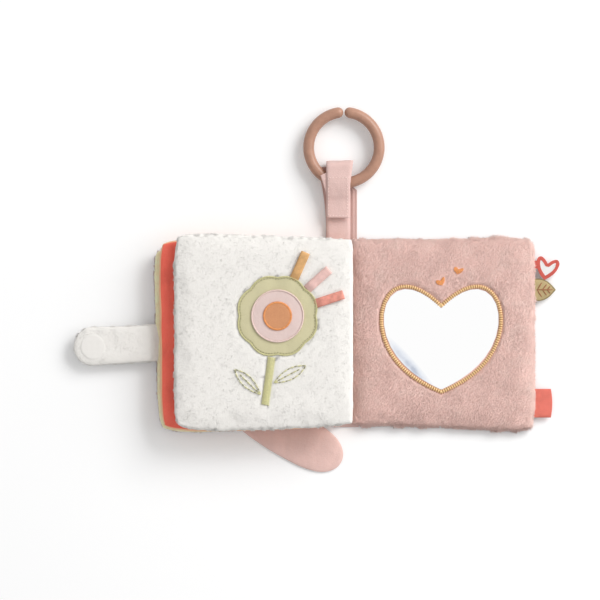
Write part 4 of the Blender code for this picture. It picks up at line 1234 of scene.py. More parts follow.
def make_back_cover():
    piece = make_pillow(
        "back_cover", BACK, [PINK_PILE, PINK_PILE],
        ("back_cover_inner_panel", "back_cover_outer_panel", "back_cover_padding"), seed=3,
    )
    points = points_of(piece)
    points[:, 0] -= BACK_ROOT_REACH * np.clip(1 - points[:, 0] / BACK_ROOT_STRETCH, 0, 1)
    set_points(piece, points)
    press(piece, HEART, MIRROR_SEAT - MIRROR_SINK)
    press(piece, LOOP_CIRCLE, LOOP_SEAT, upper=False)
    keep_above_floor(piece)
    dress(piece, "book")
    bare = [outline - np.array([0, BARE_LAG]) for outline in (HEART, *SMALL_HEART_OUTLINES)]
    pile_pair(
        "back_cover", piece, "book", PINK_PILE, BACK_PILE_COUNTS, (PINK_STRANDS, PINK_HIDDEN),
        (clear_of(bare, upper_side, 0), clear_of([LOOP_CIRCLE], lower_side)),
        seed=20, thin=shorter_near(bare, SHORT_REACH, least=0.5), floor=PILE_FLOOR,
    )
    fringe = grow_pile(
        "back_cover_fringe", piece, BACK_FRINGE_COUNT, PINK_FRINGE, rim_of(BACK, *BACK_RIM), PINK_PILE,
        seed=29, thin=tufted(BACK_TUFT, seed=28, least=0.6), floor=PILE_FLOOR,
    )
    dress(fringe, "book")
    return piece


def make_white_leaf():
    piece = make_pillow(
        "white_leaf", WHITE, [WHITE_PILE, WHITE_PILE],
        ("white_leaf_front_panel", "white_leaf_back_panel", "white_leaf_padding"), seed=5,
    )
    bare = [SCALLOPS, STEM]
    for outline in bare:
        press(piece, outline, FLOWER_SEAT - PRESSED_SINK)
    dress(piece, "white_leaf")
    pile_pair(
        "white_leaf", piece, "white_leaf", WHITE_PILE, WHITE_PILE_COUNTS,
        (WHITE_STRANDS, WHITE_STRANDS), (clear_of(bare, upper_side, PATCH_MARGIN), lower_side),
        seed=40, thin=shorter_near(bare, SHORT_REACH, least=0.35),
    )
    fringe = grow_pile(
        "white_leaf_fringe", piece, WHITE_FRINGE_COUNT, WHITE_FRINGE, rim_of(WHITE, *WHITE_RIM), WHITE_PILE,
        seed=49, thin=tufted(WHITE_TUFT, seed=48, least=0.15),
    )
    dress(fringe, "white_leaf")
    return piece


def make_red_leaf():
    piece = make_pillow(
        "red_leaf", RED, [CORAL, PEACH],
        ("red_leaf_front_panel", "red_leaf_back_panel", "red_leaf_padding"), seed=7, turned=True,
    )
    dress(piece, "red_leaf")


def make_front_cover():
    piece = make_pillow(
        "front_cover", COVER, [GREEN, PINK_PILE],
        ("front_cover_inner_panel", "front_cover_outer_panel", "front_cover_padding"), seed=9,
    )
    dress(piece, "front_cover")
    pile_pair(
        "front_cover", piece, "front_cover", PINK_PILE, COVER_PILE_COUNTS, (None, PINK_HIDDEN),
        (None, lower_side), seed=60, floor=PILE_FLOOR,
    )


# Mirror and small hearts

MIRROR_PITCH = 0.0018
MIRROR_INSET = 0.0001
MIRROR_OVERLAP = 0.0004
MIRROR_BORDER_RISE = 0.0009
MIRROR_STITCH_RADIUS = 0.00056
MIRROR_STITCH_LIFT = 0.0005
MIRROR_TOOTH = 0.0007
MIRROR_TOOTH_RISE = 0.0010
MIRROR_TOOTH_RADIUS = 0.00024
MIRROR_TOOTH_LIFT = 0.0001


def make_mirror():
    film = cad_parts["mirror_film"]
    film.data.materials.clear()
    film.data.materials.append(MIRROR.material)
    inner = inset_outline(HEART, MIRROR_BORDER - MIRROR_OVERLAP)
    outer = inset_outline(HEART, MIRROR_INSET)
    top = MIRROR_SEAT + MIRROR_BORDER_RISE
    base = band_between("mirror_border_base", outer, inner, MIRROR_SEAT, top, GOLD_THREAD)
    dress(base, "book")
    border = satin_edge(
        "mirror_border", HEART, inner, MIRROR_PITCH, top, MIRROR_STITCH_RADIUS, MIRROR_STITCH_LIFT,
        GOLD_THREAD,
    )
    pairs = []
    for start, end in zip(*evenly(HEART, inner, MIRROR_PITCH, start=0.5)):
        reach = unit(end - start) * MIRROR_TOOTH
        pairs.append([(*place, MIRROR_SEAT + MIRROR_TOOTH_RISE) for place in (start - reach, end + reach)])
    teeth = stitches("mirror_border_teeth", pairs, MIRROR_TOOTH_RADIUS, MIRROR_TOOTH_LIFT, BROWN_THREAD)
    dress(teeth, "book")
    dress(border, "book", ["mirror_stitch_border"])


HEART_STITCH_TURN = 0.5
HEART_STITCH_PITCH = 0.0006
HEART_STITCH_RISE = 0.0004
HEART_STITCH_RADIUS = 0.0004
HEART_STITCH_LIFT = 0.0005


def make_small_hearts(ground):
    for (name, x, y, tilt), outline in zip(SMALL_HEARTS, SMALL_HEART_OUTLINES):
        low = ground(x, y) + HEART_STITCH_RISE
        pairs = fill_pairs(outline, tilt + HEART_STITCH_TURN, HEART_STITCH_PITCH, low)
        heart = stitches(name + "_stitches", pairs, HEART_STITCH_RADIUS, HEART_STITCH_LIFT, ORANGE_THREAD)
        dress(heart, "book", [name])


# Flower

# Name, place in the stack, radius, lobes, scallop, finish, slot and solid of each patch, from the top.
PATCHES = (
    ("flower_centre", 2, CENTRE_PATCH_RADIUS, 0, 0, CENTRE_OCHRE, "ochre_fabric", "flower_centre_patch"),
    ("flower_ring", 1, RING_PATCH_RADIUS, 0, 0, RING_PINK, "pink_velvet", "flower_ring_patch"),
    ("flower_base", 0, FLOWER_RADIUS, FLOWER_LOBES, FLOWER_SCALLOP, FLOWER_GREEN, "leaf_green",
     "flower_patch"),
)
# Name, place in the stack, radius, lobes, scallop, reach outwards and inwards, rise and finish of each edge.
EDGES = (
    ("flower_edge", 0, FLOWER_RADIUS, FLOWER_LOBES, FLOWER_SCALLOP, 0, 0.0012, 0.0005, PALE_GREEN_THREAD),
    ("ring_edge", 1, RING_PATCH_RADIUS, 0, 0, 0.0004, 0.0010, 0.0005, PALE_PINK_THREAD),
    ("centre_edge", 2, CENTRE_PATCH_RADIUS, 0, 0, 0.0005, 0.0014, 0.0002, ORANGE_THREAD),
)
EDGE_PITCH = 0.0006
EDGE_RADIUS = 0.00034
EDGE_LIFT = 0.0003
RUNNING_INSET = 0.0019
RUNNING_PITCH = 0.0022
RUNNING_RISE = 0.0006
RUNNING_RADIUS = 0.00022
RUNNING_LIFT = 0.0002
STEM_STITCH_TURN = 0.25
STEM_STITCH_PITCH = 0.0007
STEM_STITCH_RISE = 0.0003
STEM_STITCH_RADIUS = 0.00042
STEM_STITCH_LIFT = 0.0004


def make_flower(ground):
    thickness = PATCH_THICKNESS + PATCH_FULLNESS
    for name, level, radius, lobes, scallop, finish, slot, node in PATCHES:
        low = FLOWER_SEAT + level * PATCH_STEP - PATCH_SINK
        patch = soft_plate(name, flower_outline(radius, lobes, scallop), low, thickness, finish)
        dress(patch, "white_leaf", [node])
    for name, level, radius, lobes, scallop, outwards, inwards, rise, finish in EDGES:
        outer = flower_outline(radius + outwards, lobes, scallop)
        inner = flower_outline(radius - inwards, lobes, scallop)
        low = FLOWER_SEAT + level * PATCH_STEP + rise
        edge = satin_edge(name, outer, inner, EDGE_PITCH, low, EDGE_RADIUS, EDGE_LIFT, finish)
        dress(edge, "white_leaf")
    line = flower_outline(FLOWER_RADIUS - RUNNING_INSET, FLOWER_LOBES, FLOWER_SCALLOP)
    spots = zip(*evenly(line, np.roll(line, -2, axis=0), RUNNING_PITCH))
    pairs = [[(*spot, FLOWER_SEAT + RUNNING_RISE) for spot in pair] for pair in spots]
    running = stitches("flower_running_stitch", pairs, RUNNING_RADIUS, RUNNING_LIFT, DARK_GREEN_THREAD)
    dress(running, "white_leaf")
    turn = math.pi / 2 + STEM_LEAN + STEM_STITCH_TURN
    pairs = fill_pairs(STEM, turn, STEM_STITCH_PITCH, FLOWER_SEAT + STEM_STITCH_RISE)
    stem = stitches("stem_stitches", pairs, STEM_STITCH_RADIUS, STEM_STITCH_LIFT, PALE_GREEN_THREAD)
    dress(stem, "white_leaf", ["flower_stem"])
    make_leaf_stitches(ground)


# The side of the stem that each leaf grows on, and how far down it.
LEAVES = ((1, 0.52), (-1, 0.80))
LEAF_REACH = 0.027
LEAF_MIDRIB_SHARE = 0.8
LEAF_SWING = math.radians(36)
LEAF_BOWS = (0.42, 0.0, -0.42)
LEAF_CLEARANCE = 0.001
LONG_STITCH = 0.0034
SHORT_STITCH = 0.0019
LEAF_STITCH_RISE = 0.0005
LEAF_STITCH_RADIUS = 0.00044
LEAF_STITCH_LIFT = 0.0002


def make_leaf_stitches(ground):
    """A leaf on either side of the stem, drawn with running stitches in two tones."""
    light, dark = [], []
    for side, share in LEAVES:
        out = STEM_ACROSS * side
        foot = STEM_START + STEM_DOWN * STEM_LENGTH * share + out * (STEM_WIDTH / 2 + LEAF_CLEARANCE)
        for bow in LEAF_BOWS:
            reach = LEAF_REACH * (1 if bow else LEAF_MIDRIB_SHARE)
            along, number = 0.0, 0
            while along < reach:
                step = SHORT_STITCH if number % 2 else LONG_STITCH
                ends = []
                for place in (along, min(along + step, reach)):
                    swing = LEAF_SWING + bow * math.cos(math.pi / 2 * place / reach)
                    spot = foot + (out * math.cos(swing) - STEM_DOWN * math.sin(swing)) * place
                    ends.append((*spot, ground(*spot) + LEAF_STITCH_RISE))
                (dark if number % 2 else light).append(ends)
                along += step
                number += 1
    for tone, pairs, finish in (("light", light, PALE_GREEN_THREAD), ("dark", dark, DARK_GREEN_THREAD)):
        leaves = stitches(f"leaf_stitches_{tone}", pairs, LEAF_STITCH_RADIUS, LEAF_STITCH_LIFT, finish)
        dress(leaves, "white_leaf")


# Name, angle round the flower, finish and slot of each ribbon.
RIBBONS = (
    ("ribbon_coral", math.radians(18), CORAL_SATIN, "coral_ribbon"),
    ("ribbon_pink", math.radians(42), PINK_SATIN, "pink_ribbon"),
    ("ribbon_ochre", math.radians(66), OCHRE_SATIN, "ochre_fabric"),
)
RIBBON_THICKNESS = 0.0005
RIBBON_START = 0.0005
RIBBON_STATIONS = 6
RIBBON_SEAT = 0.0004
RIBBON_RISE = 0.0005
RIBBON_BIGHT = (0.0007, 0.0006)
RIBBON_FOLD_RISE = 0.0011
RIBBON_FOLD_REACH = 0.004
RIBBON_FOLD_SPARE = 0.0001


def make_ribbons(ground):
    """Folded ribbons, sewn in under the flower's edge, that rise towards their free ends."""
    for name, turn, finish, slot in RIBBONS:
        along = np.array([math.cos(turn), math.sin(turn)])
        across = np.array([-along[1], along[0]])
        start = FLOWER_RADIUS + RIBBON_START
        lower = []
        for share in np.linspace(0, 1, RIBBON_STATIONS):
            reach = start + (RIBBON_LENGTH + FLOWER_SCALLOP) * share
            height = ground(*(FLOWER_MIDDLE + along * reach)) + RIBBON_SEAT + RIBBON_RISE * share
            lower.append((reach, height))
        bight = [tuple(np.add(lower[-1], RIBBON_BIGHT))]
        upper = []
        for reach, height in reversed(lower):
            opened = min(1, (reach - start) / RIBBON_FOLD_REACH)
            upper.append((reach, height + RIBBON_FOLD_RISE * opened + RIBBON_FOLD_SPARE))
        path = smooth_path(lower + bight + upper, count=60)
        strip = cloth_strip(name + "_fold", path, RIBBON_WIDTH / 2, RIBBON_THICKNESS, finish, "Y", columns=4)
        points = points_of(strip)
        points[:, :2] = FLOWER_MIDDLE + points[:, :1] * along + points[:, 1:2] * across
        set_points(strip, points)
        dress(strip, "white_leaf", [name])


# Closure strap

STRAP_COLUMNS = 32
STRAP_ROWS = 20
STRAP_CUT_X = -0.166
STRAP_INSIDE = 0.004
STRAP_SHARP_ANGLE = math.radians(55)
STRAP_RIM_HALF = 0.00025
STRAP_WAIST = 0.0008
STRAP_WAIST_REACH_SHARE = 1.25
# Powers that draw the tip's columns towards its end and round its sides and its end.
STRAP_COLUMN_POWER = 1.5
STRAP_SIDE_POWER = 4
STRAP_END_POWER = 10
STRAP_TUFT = 0.004
HOOK_MARGIN = -0.0008
HOOK_SEAT = 0.0088
HOOK_THICKNESS = 0.0006
PATCH_LOW = 0.0002
LOOP_THICKNESS = 0.0009
# Name, the ends along x, whether the second is round, the bodies before and after the fold, the fold's
# place and half reach, the solid and the number of strands of each stretch.
STRETCHES = (
    ("closure_strap_near", STRAP_START_X + STRAP_INSIDE, STRAP_CUT_X, False, "front_cover", "closure_root",
     STRAP_START_X, 0.004, "closure_strap_root", 1700),
    ("closure_strap_far", STRAP_CUT_X, STRAP_END_X, True, "closure_root", "closure_tip",
     STRAP_FOLD_X, 0.005, "closure_strap_tip", 4600),
)


def strap_place(x, v):
    """Where a point lies on the closure strap's plan, from -1 to 1 across it."""
    share = (STRAP_START_X - x) / (STRAP_START_X - STRAP_END_X)
    half = STRAP_HALF_WIDTH + (STRAP_TIP_HALF_WIDTH - STRAP_HALF_WIDTH) * max(share, 0)
    middle = STRAP_ROOT_Y + (STRAP_TIP_Y - STRAP_ROOT_Y) * share
    waist = STRAP_WAIST * math.sin(math.pi * min(max(share * STRAP_WAIST_REACH_SHARE, 0), 1))
    return middle + v * (half - (waist if v > 0 else 0))


def strap_part(name, start_x, end_x, round_end):
    """One stretch of the strap, with or without a round end."""
    columns, rows = STRAP_COLUMNS, STRAP_ROWS
    points, faces = [], []
    for level in (1, -1):
        for column in range(columns + 1):
            for row in range(rows + 1):
                v = math.sin((row / rows - 0.5) * math.pi)
                along, stop = column / columns, end_x
                if round_end:
                    stop = end_x + STRAP_TIP_HALF_WIDTH * (1 - math.sqrt(max(0, 1 - v * v)))
                    along = 1 - (1 - along) ** STRAP_COLUMN_POWER
                x = start_x + (stop - start_x) * along
                full = math.sqrt(max(0, 1 - abs(v) ** STRAP_SIDE_POWER))
                if round_end:
                    full *= math.sqrt(max(0, 1 - along ** STRAP_END_POWER))
                height = level * (STRAP_RIM_HALF + (STRAP_HALF_THICKNESS - STRAP_RIM_HALF) * full)
                points.append((x, strap_place(x, v), COVER_MIDDLE + height))
    size = (columns + 1) * (rows + 1)
    for column in range(columns):
        for row in range(rows):
            here = column * (rows + 1) + row
            face = (here, here + rows + 1, here + rows + 2, here + 1)
            faces.append(face)
            faces.append(tuple(size + corner for corner in face)[::-1])
    rim = strip_rim(columns + 1, rows)
    for here, there in zip(rim, rim[1:] + rim[:1]):
        faces.append((here, there, size + there, size + here))
    piece = outward(add_object(name, points, faces, [WHITE_PILE]))
    piece.data.set_sharp_from_angle(angle=STRAP_SHARP_ANGLE)
    return piece


# Faces tilted further than this towards the cut between the stretches carry no strands.
CUT_TILT = 0.97
STRAP_RIM_TILTS = (-0.2, 0.85)


def away_from_cut(places, normals):
    return (np.abs(normals[:, 0]) < CUT_TILT).astype(float)


def strap_rim(places, normals):
    least, most = STRAP_RIM_TILTS
    return ((normals[:, 2] > least) & (normals[:, 2] < most)) * away_from_cut(places, normals)


def make_closure():
    hook = flower_outline(HOOK_RADIUS, count=72, centre=(HOOK_X, STRAP_TIP_Y))
    for name, start, end, round_end, first, second, fold, reach, node, count in STRETCHES:
        piece = strap_part(name, start, end, round_end)
        bare = clear_of([hook], away_from_cut, HOOK_MARGIN)
        pile = grow_pile(name + "_pile", piece, count, WHITE_STRANDS, bare, WHITE_PILE, seed=80 + count)
        fringe = grow_pile(
            name + "_fringe", piece, count // 3, STRAP_FRINGE, strap_rim, WHITE_PILE,
            seed=90 + count, thin=tufted(STRAP_TUFT, seed=91, least=0.2),
        )
        for part in (piece, pile, fringe):
            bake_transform(part)
        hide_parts(node)
    dot = soft_plate("hook_dot", hook, HOOK_SEAT, HOOK_THICKNESS, HOOK_WHITE)
    dress(dot, "closure_tip", ["closure_hook_dot"])
    circle = flower_outline(LOOP_RADIUS, count=72, centre=(LOOP_X, STRAP_TIP_Y))
    patch = soft_plate("loop_patch", circle, PATCH_LOW, LOOP_THICKNESS, HOOK_WHITE)
    dress(patch, "book", ["closure_loop_patch"])


# Petal flap

PETAL_SHARES = (
    (-0.06, 0.30), (0.00, 0.42), (0.06, 0.60), (0.16, 0.74), (0.30, 0.88), (0.45, 0.97), (0.60, 1.00),
    (0.74, 0.98), (0.85, 0.87), (0.92, 0.70), (0.97, 0.45), (0.995, 0.16),
)
PETAL_CROWN = 0.0002
PETAL_POINTS = 160
PETAL_ROOT_REACH = 0.002
PETAL_ROOT_SLOPE = 0.006
PETAL_ROOT_RISE = 0.0012


def make_petal():
    along = np.array([math.cos(PETAL_ANGLE), math.sin(PETAL_ANGLE)])
    across = np.array([-along[1], along[0]]) * PETAL_HALF_WIDTH
    root = np.array([PETAL_TIP_X, PETAL_TIP_Y]) - along * PETAL_LENGTH
    right, left = [
        [root + along * share * PETAL_LENGTH + side * across * width for share, width in PETAL_SHARES]
        for side in (-1, 1)
    ]
    edge = smooth_path(right + left[::-1] + right[:1], PETAL_POINTS + 1)[:-1]
    piece = outward(soft_plate(
        "petal", edge, 0, PETAL_THICKNESS - PETAL_CROWN, PETAL_PINK, rings=12, crown=PETAL_CROWN,
    ))
    points = points_of(piece)
    spot = (points[:, :2] - root) @ along
    points[:, 2] += np.clip((PETAL_ROOT_REACH - spot) / PETAL_ROOT_SLOPE, 0, 1) * PETAL_ROOT_RISE
    set_points(piece, points)
    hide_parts("petal_front_layer", "petal_back_layer")
    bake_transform(piece)


# Spine

SPINE_HALF_LENGTH = 0.0708
SPINE_THICKNESS = 0.0012
# The strip's path from under the back cover to the front cover, as places in x and z.
SPINE_ROUTE = (
    (0.003, 0.0007), (-0.001, 0.0006), (-0.006, 0.0006), (-0.0105, 0.0009),
    (-0.0135, 0.0026), (-0.0158, 0.0052),
)
TAPE_INSET = 0.004
TAPE_THICKNESS = 0.0011
# Name, path in x and z, body, solid, finish and slot of each tape inside the spine.
TAPES = (
    ("binding_tape", ((HINGE_X, 0.0014), (HINGE_X, 0.0048), (HINGE_X, 0.0082)),
     "book", "spine_binding_tape", PINK_VELVET, "pink_velvet"),
    ("red_hinge_cloth", ((-0.0100, 0.0163), (-0.0077, 0.0176), (-0.0058, 0.0188)),
     "red_leaf", "red_leaf_hinge_tape", PEACH, "peach_fabric"),
    ("white_hinge_cloth", ((-0.0022, 0.0238), (-0.0024, 0.0224), (-0.0028, 0.0208)),
     "white_leaf", "white_leaf_hinge_tape", WHITE_PILE, "white_fleece"),
)


def make_spine():
    path = smooth_path(SPINE_ROUTE, count=30)
    piece = cloth_strip("spine_cloth", path, SPINE_HALF_LENGTH, SPINE_THICKNESS, PINK_VELVET, "Y", columns=40)
    keep_above_floor(piece)
    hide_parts("spine_strip")
    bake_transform(piece)
    half = BOARD_DEPTH / 2 - SPINE_GATHER - TAPE_INSET
    for name, route, body, node, finish, slot in TAPES:
        tape = cloth_strip(name, smooth_path(route, count=8), half, TAPE_THICKNESS, finish, "Y", columns=40)
        dress(tape, body, [node])


# Hanging strap and ring

BACK_MIDDLE_Z = 0.0003 + HANG_LAYER / 2
FRONT_MIDDLE_Z = 0.0024 + HANG_LAYER / 2
TAB_MIDDLE_Z = 0.0069 + HANG_LAYER / 2
BACK_ROOT_INSET = 0.0045
FRONT_ROOT_INSET = 0.0040
FRONT_ROOT_DROP = 0.0006
FRONT_KNEE_Y = 0.090
BACK_KNEE_Y = 0.100
BACK_RUN_FLAT = (0.0244, 0.0562)
FRONT_RUN_FLAT = (0.018, 0.0347)
PAD_YS = (PAD_LOW_Y, (PAD_LOW_Y + PAD_HIGH_Y) / 2, PAD_HIGH_Y)
PAD_THICKNESS = 0.0009
LOOP_PAD_LOW = 0.0045
PAD_STEP = 0.0012


def shape_back_run(piece):
    """Gathers the back run's right side, flares its left side and tucks it in above."""
    points = points_of(piece)
    x, y = points[:, 0].copy(), points[:, 1]
    folds = np.cos((BACK_RUN_X + BACK_RUN_HALF_WIDTH - x) / BACK_RUN_FOLD * 2 * math.pi)
    folded = np.clip((x - HANG_X - HANG_HALF_WIDTH + BACK_RUN_FOLD) / BACK_RUN_FOLD, 0, 1)
    points[:, 2] += BACK_RUN_FOLD_RISE * folds * folded
    left = np.clip((BACK_RUN_X - x) / BACK_RUN_HALF_WIDTH, 0, 1)
    high = np.clip((y - HANG_HINGE_Y) / (BACK_RUN_END_Y - HANG_HINGE_Y), 0, 1)
    points[:, 0] -= BACK_RUN_FLARE * left * high ** 2
    right = np.clip((points[:, 0] - BACK_RUN_X) / BACK_RUN_HALF_WIDTH, 0, 1)
    tucked = np.clip((y - BACK_RUN_TUCK_Y) / BACK_RUN_TUCK_LENGTH, 0, 1)
    points[:, 0] -= BACK_RUN_TUCK * right * tucked
    set_points(piece, points)


def make_hanging_strap():
    route = [
        (HANG_Y - BACK_ROOT_INSET, BACK_MIDDLE_Z), (HANG_HINGE_Y, BACK_MIDDLE_Z),
        (BACK_KNEE_Y, BACK_MIDDLE_Z), (BACK_RUN_END_Y, BACK_MIDDLE_Z),
    ]
    path = smooth_path(route, count=40)
    # The back run is coloured darker than the front run; that darkness is painted shade.
    back = cloth_strip(
        "hanging_strap_back", path, BACK_RUN_HALF_WIDTH, HANG_LAYER, SHADED_WEBBING, "X", BACK_RUN_X,
        columns=28,
    )
    shape_back_run(back)
    route = [
        (HANG_Y - FRONT_ROOT_INSET, FRONT_MIDDLE_Z - FRONT_ROOT_DROP), (HANG_HINGE_Y, FRONT_MIDDLE_Z),
        (FRONT_KNEE_Y, FRONT_MIDDLE_Z), (FRONT_RUN_END_Y, FRONT_MIDDLE_Z),
    ]
    path = smooth_path(route, count=30)
    front = cloth_strip("hanging_strap_front", path, HANG_HALF_WIDTH, HANG_LAYER, PINK_VELVET, "X", HANG_X)
    runs = ((back, "strap_back_run", BACK_RUN_FLAT), (front, "strap_front_run", FRONT_RUN_FLAT))
    for piece, node, flat in runs:
        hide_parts(node)
        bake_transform(piece)
    make_strap_tab()
    middle = LOOP_PAD_LOW + PAD_THICKNESS / 2
    for kind, body in (("loop", "hanging_strap"), ("hook", "strap_tab_body")):
        path = smooth_path([(y, middle) for y in PAD_YS], count=8)
        pad = cloth_strip(kind + "_pad", path, PAD_HALF_WIDTH, PAD_THICKNESS, HOOK_WHITE, "X", HANG_X)
        dress(pad, body, [f"strap_{kind}_pad"])
        middle += PAD_STEP


TAB_OVER_RING = 0.0006
TAB_ROOT_INSET = 0.0006
BIGHT_REACH = 0.0034
BIGHT_BULGE = 0.0003
# The seam round the tab's upper face: its insets from the four sides, and its stitches.
SEAM_LOW_INSET = 0.0015
SEAM_HIGH_Y = 0.1165
SEAM_PATH_END_Y = 0.118
SEAM_RIGHT_INSET = 0.0022
SEAM_LEFT_INSET = 0.0016
SEAM_CROSS_INSETS = (0.0018, 0.0030)
SEAM_PITCH = 0.0024
SEAM_STITCH = 0.0017
SEAM_RADIUS = 0.00025
SEAM_LIFT = 0.0002
SEAM_SINK = 0.00005
UPPER_RUN_MARGIN = 0.0004


def make_strap_tab():
    over = RING_Z + RING_TUBE_RADIUS + TAB_OVER_RING + HANG_LAYER / 2
    bight_y = BACK_RUN_END_Y + BIGHT_REACH
    ring_low = RING_Y - RING_RADIUS
    route = [
        (BACK_RUN_END_Y - TAB_ROOT_INSET, BACK_MIDDLE_Z), (BACK_RUN_END_Y + HANG_LAYER, BACK_MIDDLE_Z),
        (bight_y, BACK_MIDDLE_Z + HANG_LAYER), (bight_y + BIGHT_BULGE, RING_Z),
        (bight_y - HANG_LAYER, over - HANG_LAYER / 4), (ring_low + 2 * RING_TUBE_RADIUS, over),
        (ring_low, over), (ring_low - 2 * RING_TUBE_RADIUS, over - HANG_LAYER),
        (PAD_HIGH_Y - HANG_LAYER, TAB_MIDDLE_Z + HANG_LAYER / 3),
        (PAD_LOW_Y + HANG_LAYER, TAB_MIDDLE_Z), (TAB_END_Y, TAB_MIDDLE_Z),
    ]
    path = smooth_path(route, count=90)
    tab = cloth_strip(
        "strap_tab_cloth", path, HANG_HALF_WIDTH, HANG_LAYER, PINK_VELVET, "X", HANG_X, columns=10,
    )
    points = points_of(tab)
    high = np.clip((points[:, 1] - TAB_SLANT_Y) / (bight_y - TAB_SLANT_Y), 0, 1) * (points[:, 2] > RING_Z)
    points[:, 1] += TAB_SLANT * (points[:, 0] - HANG_X) * high
    points[:, 0] += TAB_FLARE * np.clip((points[:, 0] - HANG_X) / HANG_HALF_WIDTH, 0, 1) * high
    set_points(tab, points)
    make_strap_fold(path)
    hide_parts("strap_tab")
    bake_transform(tab)
    stitch_strap_tab(path)


def stitch_strap_tab(path):
    """The seam on the tab's upper face: along its two sides, and across both its ends."""
    low_y = TAB_END_Y + SEAM_LOW_INSET
    upper = path[:, 1] > TAB_MIDDLE_Z - UPPER_RUN_MARGIN
    ys, zs = path[upper & (path[:, 0] > low_y) & (path[:, 0] < SEAM_PATH_END_Y)][::-1].T

    def seat(x, y):
        return x, y, float(np.interp(y, ys, zs)) + HANG_LAYER / 2 - SEAM_SINK

    pairs = []
    for x in (HANG_X + HANG_HALF_WIDTH - SEAM_RIGHT_INSET, HANG_X - HANG_HALF_WIDTH + SEAM_LEFT_INSET):
        spots = np.arange(low_y, SEAM_HIGH_Y, SEAM_PITCH)
        pairs += [(seat(x, y), seat(x, y + SEAM_STITCH)) for y in spots]
    left = HANG_X - HANG_HALF_WIDTH + SEAM_CROSS_INSETS[0]
    right = HANG_X + HANG_HALF_WIDTH - SEAM_CROSS_INSETS[1]
    for y in (low_y, SEAM_HIGH_Y):
        pairs += [(seat(x, y), seat(x + SEAM_STITCH, y)) for x in np.arange(left, right, SEAM_PITCH)]
    seam = stitches("strap_tab_stitching", pairs, SEAM_RADIUS, SEAM_LIFT, PALE_PINK_THREAD)
    dress(seam, "strap_tab_body")


def make_strap_fold(path):
    """The gathered side of the webbing, which shows at the left of the tab, over the ring."""
    upper = path[:, 1] > TAB_MIDDLE_Z - UPPER_RUN_MARGIN
    run = path[upper & (path[:, 0] > FOLD_LOW_Y) & (path[:, 0] < FOLD_HIGH_Y)] - np.array([0, HANG_LAYER / 3])
    right = HANG_X - HANG_HALF_WIDTH + FOLD_WIDTH / 4
    fold = cloth_strip(
        "strap_tab_fold", run, FOLD_WIDTH / 2, HANG_LAYER / 2, PINK_VELVET, "X", right - FOLD_WIDTH / 2,
    )
    points = points_of(fold)
    high = np.clip((points[:, 1] - FOLD_LOW_Y) / (FOLD_HIGH_Y - FOLD_LOW_Y), FOLD_LEAST_SHARE, 1)
    points[:, 0] = right - (right - points[:, 0]) * high
    points[:, 1] -= (right - points[:, 0]) * FOLD_DROP_SHARE * high
    set_points(fold, points)
    dress(fold, "strap_tab_body")


def make_ring():
    """The split ring: one tube with two round ends that nearly meet at the top."""
    half_gap = RING_GAP / 2 / RING_RADIUS
    sweep = 2 * math.pi - 2 * half_gap
    dome = RING_TUBE_RADIUS / RING_RADIUS
    stations = []
    for step in range(RING_DOME_STEPS):
        turn = step / RING_DOME_STEPS * math.pi / 2
        stations.append((dome * (1 - math.cos(turn)), max(math.sin(turn), RING_TIP_SHARE)))
    ends = [(sweep - turn, share) for turn, share in reversed(stations)]
    middle = [(dome + (sweep - 2 * dome) * step / RING_STEPS, 1) for step in range(RING_STEPS + 1)]
    stations += middle + ends
    points = []
    for turn, share in stations:
        angle = math.pi / 2 + half_gap + turn
        for side in range(RING_SIDES):
            around = 2 * math.pi * side / RING_SIDES
            reach = RING_RADIUS + RING_TUBE_RADIUS * share * math.cos(around)
            points.append((
                RING_X + reach * math.cos(angle), RING_Y + reach * math.sin(angle),
                RING_Z + RING_TUBE_RADIUS * share * math.sin(around),
            ))
    faces = tube_faces(len(stations), RING_SIDES)
    ring = outward(add_object("ring_body_ring", points, faces, [RING_BROWN]))
    dress(ring, "ring_body", ["ring"])


# Tabs

TAB_MIDDLE = (TAB_LOW_Z + TAB_HIGH_Z) / 2
TAB_INSIDE = 0.003
HEART_TAB_GROWTH_SHARE = 1.03
HEART_BAND = 0.0024
# How the printed heart's inner and outer edges wander: the grain, the share and the seed of each.
HEART_INNER_DRIFT = (0.009, 0.05, 4)
HEART_OUTER_DRIFT = (0.004, 0.03, 6)
HEART_OUTER_SHARE = 1.015
PRINT_INSIDE = 0.0005
PRINT_PROUD = 0.0002
STALK_REACH = 0.0035
STALK_THICKNESS = 0.0013


def drifted(outline, middle, share, drift):
    """An outline grown by a share from its middle, with a wandering edge."""
    grain, drift_share, seed = drift
    field = wander(np.column_stack([outline, np.zeros(len(outline))]), grain, seed)
    return middle + (outline - middle) * (share + drift_share * field[:, None])


def blend_tab(piece):
    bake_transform(piece)


